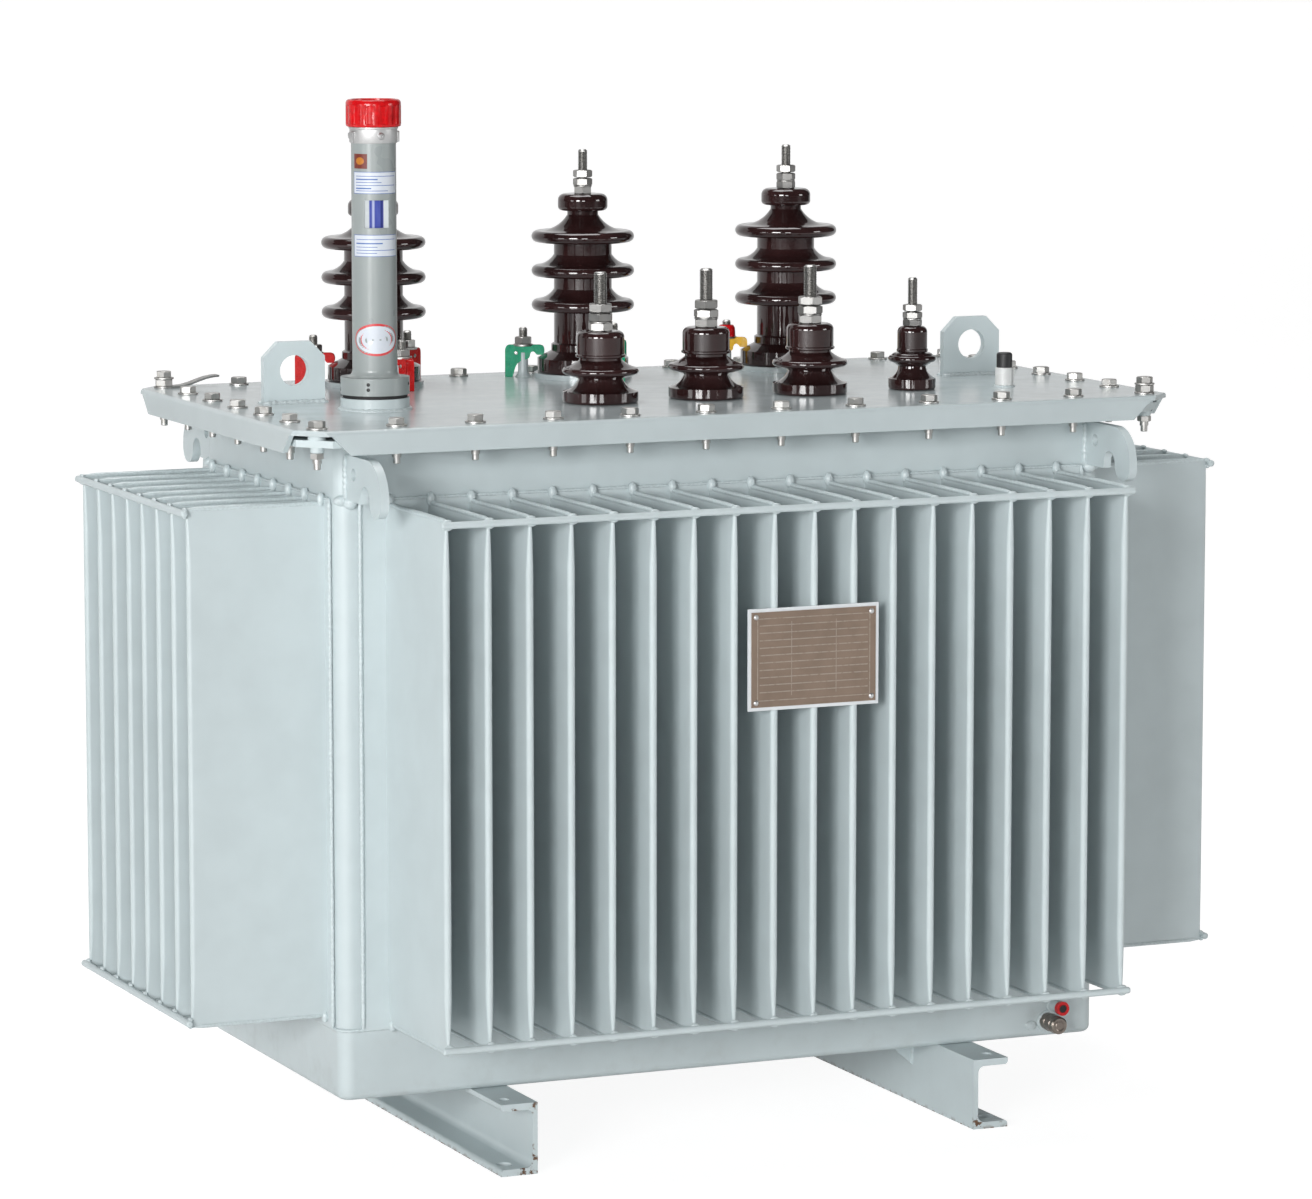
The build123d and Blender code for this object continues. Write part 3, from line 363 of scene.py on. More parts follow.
def skid_enamel(name, base):
    """Enamel on the rolled skids, chipped to rusty steel at the ends of webs and flanges."""
    finish = Finish(name)
    shade, rough, normal = sheet_waves(finish, 0.34, 0.48, 0.00012)
    _, along, level = finish.parts(finish.place)
    end = abs(along).ramp(0.3105, 0.3148)
    chips = finish.noise(150.0, 4.0, 0.65)
    nick = finish.noise(34.0, 2.0, 0.5).ramp(0.50, 0.56)
    bare = (end * chips.ramp(0.50, 0.56) * nick).most((level < 0.0012) * chips.ramp(0.5, 0.6))
    rub = (1.0 - level.ramp(0.0, 0.006)) * finish.noise(85.0, 3.0, 0.6).ramp(0.5, 0.62) * 0.5
    worn = bare.most(rub)
    rust = finish.blend(finish.noise(260.0, 3.0, 0.6), (0.055, 0.030, 0.020), (0.20, 0.105, 0.055))
    tone = finish.blend(shade.ramp(0.32, 0.68), tint(base, 0.93), tint(base, 1.02))
    tone = finish.blend(worn, tone, rust)
    finish.surface(
        Base_Color=tone, Roughness=rough + worn * 0.35, Coat_Weight=(1.0 - worn) * 0.12,
        Coat_Roughness=0.3, Normal=finish.bump(1.0 - worn, 0.0003, 0.8, normal),
    )


def weld_enamel(name, base):
    """Enamel pooled over rough weld beads."""
    finish = Finish(name)
    lumps = finish.noise(330.0, 3.0, 0.55)
    fine = finish.noise(1300.0, 2.0, 0.5)
    tone = finish.blend(lumps.ramp(0.3, 0.7), tint(base, 0.94), tint(base, 1.07))
    normal = finish.bump(fine, 0.00008, 0.6, finish.bump(lumps, 0.0006, 0.8))
    finish.surface(
        Base_Color=tone, Roughness=0.26 + lumps * 0.14, Normal=normal, Coat_Weight=0.3,
        Coat_Roughness=0.15,
    )


def glaze(name, base):
    """Brown porcelain glaze: deep, glossy, a little thinner and redder in patches."""
    finish = Finish(name)
    flow = finish.noise(26.0, 3.0, 0.5, (1.0, 1.0, 0.45))
    speck = finish.noise(900.0, 2.0, 0.5).ramp(0.66, 0.74)
    tone = finish.blend(flow.ramp(0.3, 0.72), tint(base, 0.78), tint(base, 1.35))
    tone = finish.blend(speck * 0.25, tone, (0.012, 0.005, 0.005))
    normal = finish.bump(finish.noise(240.0, 1.0, 0.4), 0.00005, 0.5, finish.bump(flow, 0.0004))
    finish.surface(
        Base_Color=tone, Roughness=0.06 + flow * 0.04, Normal=normal, Coat_Weight=0.5,
        Coat_Roughness=0.02, Coat_IOR=1.5,
    )


def plated(name, base, rough=0.40, stain=0.25, scratch=(1.0, 1.0, 0.12)):
    """Zinc or tin plating with tool marks and dull stains."""
    finish = Finish(name)
    marks = finish.noise(900.0, 3.0, 0.6, scratch)
    dull = finish.noise(140.0, 4.0, 0.6).ramp(0.45, 0.75)
    tone = finish.blend(marks.ramp(0.25, 0.75), tint(base, 0.93), tint(base, 1.04))
    tone = finish.blend(dull * stain, tone, (0.47, 0.43, 0.36))
    finish.surface(
        Base_Color=tone, Metallic=1.0, Roughness=rough + marks * 0.06 + dull * 0.12,
        Normal=finish.bump(marks, 0.00003, 0.5),
    )


def coated(name, base, rough=0.24, lump=0.0002):
    """Thick dip coating or moulded plastic, glossy, a little lumpy and dusty."""
    finish = Finish(name)
    lumps = finish.noise(170.0, 3.0, 0.55)
    cast = finish.noise(820.0, 2.0, 0.5)
    dust = finish.noise(95.0, 4.0, 0.6).ramp(0.55, 0.8) * 0.03
    tone = finish.blend(lumps.ramp(0.3, 0.7), tint(base, 0.86), tint(base, 1.1))
    tone = finish.blend(dust, tone, (0.6, 0.6, 0.58))
    normal = finish.bump(cast, 0.00003, 0.5, finish.bump(lumps, lump, 0.7))
    finish.surface(
        Base_Color=tone, Roughness=rough + cast * 0.06, Normal=normal, Coat_Weight=0.2,
        Coat_Roughness=0.06, Specular_IOR_Level=0.25,
    )


def rubber(name, base=(0.016, 0.016, 0.017), rough=0.62):
    """Moulded rubber or plain dark plastic with a fine grain."""
    finish = Finish(name)
    grain = finish.noise(1400.0, 3.0, 0.6)
    bloom = finish.noise(70.0, 4.0, 0.6).ramp(0.5, 0.8)
    finish.surface(
        Base_Color=finish.blend(bloom * 0.4, base, (0.09, 0.09, 0.09)),
        Roughness=rough + grain * 0.12, Normal=finish.bump(grain, 0.00008, 0.7),
    )


def etched_plate(name, base):
    """The blank bronze plate: brushed, with plain etched ruling and a border."""
    finish = Finish(name)
    across, _, level = finish.parts(finish.place)
    plate = middle("rating_plate")
    low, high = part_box("rating_plate")
    half_x, half_z = (high.x - low.x) / 2, (high.z - low.z) / 2
    from_x, from_z = abs(across - plate.x), abs(level - plate.z)
    row_height, column_x, border, line = 0.0085, 0.028, 0.0075, 0.0005
    brushed = finish.noise(700.0, 3.0, 0.6, (0.04, 1.0, 1.0))
    cloud = finish.noise(45.0, 3.0, 0.5)
    rule = abs(((level - low.z) / row_height).fraction() - 0.5).ramp(0.40, 0.46)
    columns = abs(from_x - column_x) < 0.0004
    ruled = rule.most(columns) * (from_x < half_x - 0.010) * (from_z < half_z - 0.012)
    upright = (abs(from_x - (half_x - border)) < line) * (from_z < half_z - 0.007)
    level_edge = (abs(from_z - (half_z - border)) < line) * (from_x < half_x - 0.007)
    etched = ruled.most(upright.most(level_edge)) * finish.noise(160.0, 3.0, 0.6).ramp(0.25, 0.55)
    tone = finish.blend(cloud.ramp(0.3, 0.7), tint(base, 0.92), tint(base, 1.08))
    tone = finish.blend(brushed * 0.35, tone, tint(base, 1.2))
    tone = finish.blend(etched * 0.5, tone, (0.48, 0.44, 0.39))
    normal = finish.bump(1.0 - etched, 0.0001, 0.7, finish.bump(brushed, 0.00004, 0.6))
    finish.surface(Base_Color=tone, Metallic=0.35, Roughness=0.38 + brushed * 0.14, Normal=normal)


def sight_glass(name):
    """The gauge's window: a pale tube with a blue column, a painted highlight down one side of the column
    and painted shade along its other edge.
    """
    finish = Finish(name)
    across, along, _ = finish.parts(finish.place)
    centre = middle("gauge_glass")
    turn = math.radians(-103.0)
    side = (across - centre.x) * -math.sin(turn) + (along - centre.y) * math.cos(turn)
    column = 1.0 - abs(side).ramp(0.0075, 0.0090)
    # Painted highlight: a pale streak down one side of the blue column.
    painted_highlight_streak = (1.0 - abs(side + 0.0036).ramp(0.0006, 0.0022)) * 0.8
    # Painted shade: a darker blue band along the column's other edge.
    edge = 1.0 - abs(side - 0.0062).ramp(0.0006, 0.0022)
    cloud = finish.noise(210.0, 2.0, 0.5, (1.0, 1.0, 0.25))
    tone = finish.blend(column, (0.62, 0.66, 0.68), (0.055, 0.075, 0.36))
    tone = finish.blend(column * cloud.ramp(0.3, 0.7) * 0.25, tone, (0.12, 0.16, 0.50))
    tone = finish.blend(painted_highlight_streak * column, tone, (0.55, 0.60, 0.82))
    tone = finish.blend(edge * column * 0.8, tone, (0.015, 0.02, 0.12))
    finish.surface(
        Base_Color=tone, Roughness=0.12 + cloud * 0.08, Coat_Weight=0.8, Coat_Roughness=0.03,
        Normal=finish.bump(cloud, 0.0002, 0.4),
    )


def sticker(name, base, mark):
    """A printed label left blank: a ground colour with worn print."""
    finish = Finish(name)
    wear = finish.noise(420.0, 4.0, 0.65)
    finish.surface(
        Base_Color=finish.blend(wear.ramp(0.35, 0.8) * 0.35, base, mark),
        Roughness=0.30 + wear * 0.12, Coat_Weight=0.4, Coat_Roughness=0.1,
        Normal=finish.bump(wear, 0.00003, 0.5),
    )


def floor_white(name):
    """A floor that the camera sees white where no shadow falls, and reflections see pale."""
    finish = Finish(name)
    tone = finish.blend(finish.noise(2.0, 2.0, 0.5), (0.86, 0.86, 0.86), (0.90, 0.90, 0.90))
    paper = finish.node("ShaderNodeBsdfDiffuse", None, {"Color": tone}).out(0)
    glow = finish.node("ShaderNodeEmission", None, {"Color": (1, 1, 1, 1), "Strength": 1.25}).out(0)
    path = finish.node("ShaderNodeLightPath")
    seen = path.out("Is Camera Ray") * 0.72 + path.out("Is Glossy Ray") * 0.30
    mixed = finish.node("ShaderNodeMixShader", None, {0: seen, 1: paper, 2: glow}).out(0)
    finish.node("ShaderNodeOutputMaterial", None, {"Surface": mixed})


# Shapes


UP = Vector((0, 0, 1))
FORWARD = Matrix.Rotation(math.pi / 2, 4, "X")
OUTWARD = Matrix.Rotation(math.pi / 2, 4, "Y")


def at(x, y, z, turn=0.0):
    """A place: a point and a turn about Z."""
    return Matrix.Translation((x, y, z)) @ Matrix.Rotation(turn, 4, "Z")


def round_axis(centre, radius, angle, level):
    """A place on a circle round an upright axis, at an angle in degrees. Its Z axis points outwards."""
    return at(centre.x, centre.y, level, math.radians(angle)) @ at(radius, 0, 0) @ OUTWARD


def circle(place, radius, count):
    """Points round a circle in the place's XY plane."""
    turns = [2 * math.pi * step / count for step in range(count)]
    return [place @ Vector((radius * math.cos(turn), radius * math.sin(turn), 0)) for turn in turns]


def join_rings(shape, lower, upper):
    """Faces between two rings of corners. A ring of one corner is a point."""
    count = max(len(lower), len(upper))
    if count == 1:
        return
    for step in range(count):
        after = (step + 1) % count
        if len(lower) == 1:
            shape.faces.new((lower[0], upper[after], upper[step]))
        elif len(upper) == 1:
            shape.faces.new((lower[step], lower[after], upper[0]))
        else:
            shape.faces.new((lower[step], lower[after], upper[after], upper[step]))


def skin(shape, rings, capped=False):
    """Faces from each ring of corners to the next, and over both ends when capped."""
    for lower, upper in zip(rings, rings[1:]):
        join_rings(shape, lower, upper)
    if capped:
        shape.faces.new(rings[-1])
        shape.faces.new(rings[0][::-1])


def turned(shape, profile, place, segments=32, reach=None):
    """Turn a profile of (radius, height) points about the place's own Z axis."""
    rings = []
    for radius, height in profile:
        ring = []
        for step in range(segments if radius else 1):
            angle = 2 * math.pi * step / segments
            out = reach(radius, height, angle) if reach else radius
            corner = Vector((out * math.cos(angle), out * math.sin(angle), height))
            ring.append(shape.verts.new(place @ corner))
        rings.append(ring)
    skin(shape, rings)


def hexagon(shape, across, height, place):
    """A hexagon with its corners chamfered at both ends, as on a nut or a bolt's head."""
    flat, corner = across / 2, across / math.sqrt(3)
    drop = 0.62 * (corner - flat)
    rim = flat * 0.97
    half = (rim + corner) / 2

    def reach(radius, level, angle):
        """A radius cut back to the hexagon's flats, at any level."""
        wedge = (angle + math.pi / 6) % (math.pi / 3) - math.pi / 6
        return min(radius, flat / math.cos(wedge))

    profile = (
        (0, 0), (rim, 0), (half, drop / 2), (corner, drop), (corner, height - drop),
        (half, height - drop / 2), (rim, height), (0, height),
    )
    turned(shape, profile, place, 36, reach)


def washer(radius, thick):
    """The profile of a flat washer with eased edges."""
    ease = 0.0003
    upper_ease = 0.0004
    return (
        (0, 0), (radius - 0.0002, 0), (radius, ease), (radius, thick - ease),
        (radius - upper_ease, thick), (0, thick),
    )


def threaded(shape, radius, pitch, low, high, place):
    """A threaded rod: a crest line and a root line wound from low to high, and a capped top."""
    segments = 18
    chamfer, slope = 0.0012, 1.4
    depth = 0.58 * pitch
    turns = int((high - low) / pitch) + 2
    crest, root = [], []
    for step in range(turns * segments + 1):
        angle = 2 * math.pi * step / segments
        for line, lift, cut in ((crest, -0.5, 0.0), (root, 0.0, depth)):
            level = low + (step / segments + lift) * pitch
            reach = min(radius - cut, radius - depth - chamfer + max(0.0, high - level) * slope)
            reach = max(reach, radius * 0.5)
            level = min(max(level, low), high)
            corner = Vector((reach * math.cos(angle), reach * math.sin(angle), level))
            line.append(shape.verts.new(place @ corner))
    for step in range(len(crest) - 1):
        shape.faces.new((crest[step], crest[step + 1], root[step + 1], root[step]))
    for step in range(len(crest) - 1 - segments):
        above = step + segments
        shape.faces.new((root[step], root[step + 1], crest[above + 1], crest[above]))
    tip = shape.verts.new(place @ Vector((0, 0, high)))
    last = root[-segments - 1:]
    for step in range(segments):
        shape.faces.new((last[step], last[step + 1], tip))


def inset(outline, depth):
    """An outline drawn in by a depth. The outline runs anticlockwise."""
    drawn = []
    count = len(outline)
    for place, corner in enumerate(outline):
        here = Vector(corner)
        before = (here - Vector(outline[place - 1])).normalized()
        after = (Vector(outline[(place + 1) % count]) - here).normalized()
        inward = Vector((-before.y - after.y, before.x + after.x))
        scale = max(0.35, inward.length / 2)
        drawn.append(tuple(here + inward.normalized() * depth / scale))
    return drawn


def slab(shape, outline, thick, place, edge):
    """A flat piece with an outline in the place's XY plane and eased edges."""
    ease = edge * 0.3
    levels = (
        (edge, 0.0), (ease, ease), (0.0, edge), (0.0, thick - edge), (ease, thick - ease), (edge, thick)
    )
    rings = []
    for depth, level in levels:
        drawn = inset(outline, depth) if depth else outline
        rings.append([shape.verts.new(place @ Vector((x, y, level))) for x, y in drawn])
    skin(shape, rings, capped=True)


def bent(points, radius, steps=4):
    """An outline with its corners rounded."""
    rounded = []
    count = len(points)
    for place, corner in enumerate(points):
        here = Vector(corner)
        before = Vector(points[place - 1]) - here
        after = Vector(points[(place + 1) % count]) - here
        reach = min(radius, before.length * 0.45, after.length * 0.45)
        start = here + before.normalized() * reach
        end = here + after.normalized() * reach
        for step in range(steps + 1):
            share = step / steps
            rest = 1 - share
            rounded.append(tuple(start * rest**2 + here * 2 * share * rest + end * share**2))
    return rounded


def samples_along(points, step, closed):
    """Points about a step apart along a path."""
    points = [Vector(point) for point in points]
    if closed:
        points.append(points[0])
    samples = []
    for start, end in zip(points, points[1:]):
        count = max(1, round((end - start).length / step))
        samples += [start.lerp(end, number / count) for number in range(count)]
    if not closed:
        samples.append(points[-1])
    return samples


def bead(shape, path, width, chance, ripple, step=0.0022, lump=0.14, closed=False):
    """A weld bead along a path, with ripples, uneven width and rounded ends."""
    sides = 6
    samples = samples_along(path, step, closed)
    rings = []
    last = len(samples) - 1
    for place, spot in enumerate(samples):
        before = samples[place - 1 if closed else max(0, place - 1)]
        after = samples[(place + 1) % len(samples) if closed else min(last, place + 1)]
        along = (after - before).normalized()
        side = along.cross(Vector((0.31, 0.23, 0.92))).normalized()
        other = along.cross(side)
        wave = math.sin(2 * math.pi * place * step / ripple)
        swell = 1 + lump * wave + chance.uniform(-lump, lump) * 0.7
        end = 1.0 if closed else min(1.0, 0.45 + 0.3 * min(place, last - place))
        reach = width / 2 * swell * end
        ring = []
        for number in range(sides):
            angle = 2 * math.pi * number / sides
            ring.append(shape.verts.new(spot + reach * (math.cos(angle) * side + math.sin(angle) * other)))
        rings.append(ring)
    skin(shape, rings, capped=not closed)
    if closed:
        join_rings(shape, rings[-1], rings[0])


def blob(shape, centre, reach, chance, segments=10):
    """A lump of weld metal, with its half sizes along X, Y and Z."""
    rows = 6
    rings = []
    for row in range(rows + 1):
        lift = math.pi * row / rows
        height = -reach[2] * math.cos(lift)
        if row in (0, rows):
            rings.append([shape.verts.new(Vector(centre) + UP * height)])
            continue
        ring = []
        for number in range(segments):
            angle = 2 * math.pi * number / segments
            out = math.sin(lift) * (1 + chance.uniform(-0.08, 0.08))
            away = Vector((reach[0] * math.cos(angle) * out, reach[1] * math.sin(angle) * out, height))
            ring.append(shape.verts.new(Vector(centre) + away))
        rings.append(ring)
    skin(shape, rings)


def add_object(name, shape, finish):
    """Turn a shape into a smooth object with a finish."""
    mesh = bpy.data.meshes.new(name)
    shape.to_mesh(mesh)
    shape.free()
    mesh.materials.append(bpy.data.materials[finish])
    mesh.shade_smooth()
    made = bpy.data.objects.new(name, mesh)
    bpy.context.scene.collection.objects.link(made)
    return made


def piece(name, shape, finish, sharp=32.0, stands_for=()):
    """Turn a shape into a piece that rides on the transformer."""
    bmesh.ops.recalc_face_normals(shape, faces=shape.faces)
    made = add_object(name, shape, finish)
    made.data.set_sharp_from_angle(angle=math.radians(sharp))
    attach(made, "root")
    if stands_for:
        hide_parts(*stands_for)


def dress(finish, nodes):
    """Give nodes of the frame a finish."""
    material = bpy.data.materials[finish]
    for name in nodes:
        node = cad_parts[name]
        if not node.material_slots:
            node.data.materials.append(material)
        for slot in node.material_slots:
            slot.material = material


# Operators


WALLS = ("front", "right", "back", "left")
BUSHINGS = [f"{kind}_bushing_{letter}" for kind in ("hv", "lv") for letter in "abc"]
NODE_FINISHES = {
    "tank_enamel": ("tank_bottom", "tank_body", "tank_flange"),
    "fin_enamel": [f"{side}_fin_{part}" for side in WALLS for part in ("wall", "rods")],
    "skid_enamel": ("skid_left", "skid_right"),
    "lug_enamel_painted_light": ("lifting_lug_left", "lifting_lug_right"),
    "fitting_enamel": (
        "lifting_hook_front_left", "lifting_hook_back_left", "lifting_hook_front_right",
        "lifting_hook_back_right", "oil_sampler",
    ),
    "cover_enamel_painted_shade": ("tank_cover",),
    "dark_rubber": ("cover_gasket", "gauge_seal"),
    "brown_glaze": ["neutral_bushing", *BUSHINGS],
    "zinc_plating": [f"hv_clamps_{letter}" for letter in "abc"],
    "tin_plating": ("hv_terminals", "lv_terminals", "earth_strap"),
    "gauge_foot_enamel": ("gauge_foot",),
    "gauge_enamel": ("gauge_tube",),
    "ring_aluminium": ("gauge_ring",),
    "red_plastic": ("relief_cap", "sampler_cap"),
    "sight_glass": ("gauge_glass",),
    "pocket_plastic": ("thermometer_pocket",),
    "black_plastic": ("pocket_plug",),
    "plug_steel": ("drain_valve",),
    "plate_backing": ("plate_backing",),
    "etched_bronze": ("rating_plate",),
}


class TRANSFORMER_OT_paint(bpy.types.Operator):
    """Make the finishes and paint the frame"""

    bl_idname = "transformer.paint"
    bl_label = "Paint the frame"
    bl_options = {"REGISTER", "UNDO"}

    def execute(self, context):
        """Make every finish, then give each node its own."""
        paint = context.scene.transformer_paint
        tank_enamel("tank_enamel", paint.tank)
        tank_enamel("fin_enamel", paint.tank)
        # The cover wears the tank's paint made 8% darker: painted shade for its top, which takes less
        # light.
        enamel("cover_enamel_painted_shade", tint(paint.tank, 0.92), 0.15, 0.20, 0.00001, 0.03)
        enamel("fitting_enamel", paint.tank, 0.30, 0.40)
        # The lugs wear the tank's paint made 14% lighter: painted light on their brightly lit faces.
        enamel("lug_enamel_painted_light", tint(paint.tank, 1.14), 0.30, 0.40)
        skid_enamel("skid_enamel", paint.tank)
        weld_enamel("weld_enamel", paint.tank)
        enamel("gauge_enamel", paint.gauge, 0.24, 0.32, 0.00005)
        enamel("gauge_foot_enamel", paint.tank, 0.28, 0.36)
        enamel("pocket_plastic", (0.66, 0.67, 0.665), 0.24, 0.32, 0.00003, 0.02)
        enamel("plate_backing", (0.66, 0.69, 0.71), 0.32, 0.42)
        glaze("brown_glaze", paint.glaze)
        plated("zinc_plating", paint.zinc)
        plated("tin_plating", paint.tin, 0.32, 0.12)
        plated("ring_aluminium", (0.64, 0.64, 0.64), 0.40, 0.03, (1.0, 1.0, 1.0))
        plated("plug_steel", (0.24, 0.205, 0.18), 0.26, 0.45)
        coated("first_phase", paint.first_phase)
        coated("second_phase", paint.second_phase)
        coated("third_phase", paint.third_phase)
        coated("red_plastic", paint.cap, 0.16, 0.00006)
        rubber("dark_rubber")
        rubber("black_plastic", (0.02, 0.02, 0.021), 0.42)
        etched_plate("etched_bronze", paint.plate)
        sight_glass("sight_glass")
        for finish, nodes in NODE_FINISHES.items():
            dress(finish, nodes)
        return {"FINISHED"}


def cover_bolt_places(bolts):
    """Where the cover bolts stand, and whether each is at a corner."""
    reach_x = COVER_EDGE.x - bolts.edge
    reach_y = COVER_EDGE.y - bolts.edge
    places = []
    for number in range(bolts.along_front):
        x = -reach_x + 2 * reach_x * number / (bolts.along_front - 1)
        corner = number in (0, bolts.along_front - 1)
        places += [(x, side * reach_y, corner) for side in SIDES]
    for number in range(1, bolts.along_side - 1):
        y = -reach_y + 2 * reach_y * number / (bolts.along_side - 1)
        places += [(side * reach_x, y, False) for side in SIDES]
    return places


class TRANSFORMER_OT_cover_bolts(bpy.types.Operator):
    """Bolt the cover down all round"""

    bl_idname = "transformer.cover_bolts"
    bl_label = "Cover bolts"
    bl_options = {"REGISTER", "UNDO"}

    def execute(self, context):
        """Stack washer, head, stub and nut at every place, and spacers at the corners."""
        bolts = context.scene.transformer_fasteners
        chance = random.Random(5)
        steel, spacers = bmesh.new(), bmesh.new()
        washer_thick, corner_nut = 0.0020, 0.0085
        flat_washer = washer(0.0119, washer_thick)
        stub = (
            (0, 0), (0.0036, 0), (0.0041, 0.0006), (0.0041, 0.0068), (0.0052, 0.0072),
            (0.0052, 0.030), (0, 0.030),
        )
        collar = (0, 0), (0.0072, 0), (0.0079, 0.0008), (0.0079, 0.0065), (0, 0.0065)
        block = (0, 0), (0.0105, 0), (0.0105, 0.006), (0, 0.006)
        for x, y, corner in cover_bolt_places(bolts):
            turn = chance.uniform(0, math.pi / 3)
            place = at(x, y, COVER_TOP, turn)
            turned(steel, flat_washer, place, 28)
            top = washer_thick
            if corner and x * y < 0:
                hexagon(steel, bolts.across * 1.12, corner_nut, place @ at(0, 0, top))
                top += corner_nut + 0.0002
                turned(steel, flat_washer, place @ at(0, 0, top), 28)
                top += washer_thick
            hexagon(steel, bolts.across, bolts.head, place @ at(0, 0, top, chance.uniform(0, 1)))
            stub_drop, across, tall, nut_drop = 0.0225, bolts.across, 0.0082, 0.0082
            if corner:
                stub_drop, across, tall, nut_drop = 0.0255, 0.0145, 0.0068, 0.0133
                turned(spacers, collar, at(x, y, FLANGE_UNDER - 0.0065), 24)
                turned(spacers, block, at(x, y, FLANGE_UNDER + 0.008), 24)
            turned(steel, stub, at(x, y, FLANGE_UNDER - stub_drop), 20)
            hexagon(steel, across, tall, at(x, y, FLANGE_UNDER - nut_drop, turn))
        piece("cover_bolts", steel, "zinc_plating")
        piece("corner_spacers", spacers, "fitting_enamel")
        return {"FINISHED"}


def fin_places():
    """For each fin: its root on the floor's level, the way out, its reach and its lowest level."""
    long_reach = -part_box("front_fin_wall")[0].y - LONG_ROOT
    side_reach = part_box("right_fin_wall")[1].x - SIDE_ROOT
    right, back = Vector((1, 0, 0)), Vector((0, 1, 0))
    walls = (
        (LONG_FINS, LONG_PITCH, right, back, LONG_ROOT, long_reach, LONG_LOW),
        (SIDE_FINS, SIDE_PITCH, back, right, SIDE_ROOT, side_reach, SIDE_LOW),
    )
    places = []
    for count, pitch, along, out, root, reach, low in walls:
        for number in range(count):
            spot = along * (number - (count - 1) / 2) * pitch
            places += [(spot + out * side * root, out * side, reach, low) for side in SIDES]
    return places


def half_sizes(way, across, out, up):
    """Half sizes along X, Y and Z, from those across a fin, out along it and up."""
    return Vector((across, out, up) if way.y else (out, across, up))


class TRANSFORMER_OT_fin_welds(bpy.types.Operator):
    """Weld the fins along their pinched ends and at their roots"""

    bl_idname = "transformer.fin_welds"
    bl_label = "Fin welds"
    bl_options = {"REGISTER", "UNDO"}

    def execute(self, context):
        """Run a bead along both ends of each fin, with lumps at its root and tacks at its nose."""
        chance = random.Random(context.scene.transformer_welds.seed)
        edges, lumps = bmesh.new(), bmesh.new()
        width, ripple, step, unevenness = 0.0062, 0.012, 0.006, 0.05
        for root, way, reach, low in fin_places():
            for level in (FIN_TOP, low - 0.0002):
                start = root + way * 0.001 + UP * level
                end = root + way * (reach - 0.0015) + UP * level
                bead(edges, (start, end), width, chance, ripple, step, unevenness)
            size = half_sizes(way, 0.0053, 0.0052, 0.0086)
            blob(lumps, root + way * 0.0025 + UP * (FIN_TOP + 0.004), size, chance)
            blob(lumps, root + way * 0.0020 + UP * (low - 0.002), size * 0.8, chance)
            tack = half_sizes(way, 0.0060, 0.0030, 0.0030)
            for level in (0.7705, 0.7635, low + 0.0005, low + 0.0075):
                blob(lumps, root + way * (reach + 0.0012) + UP * level, tack, chance, 8)
        piece("fin_edge_welds", edges, "weld_enamel", 60)
        piece("fin_weld_lumps", lumps, "weld_enamel", 60)
        return {"FINISHED"}


def rounded_loop(reach_x, reach_y, level):
    """A level loop round the tank, with rounded corners."""
    corners = [(reach_x, reach_y), (-reach_x, reach_y), (-reach_x, -reach_y), (reach_x, -reach_y)]
    return [(x, y, level) for x, y in bent(corners, 0.016)]


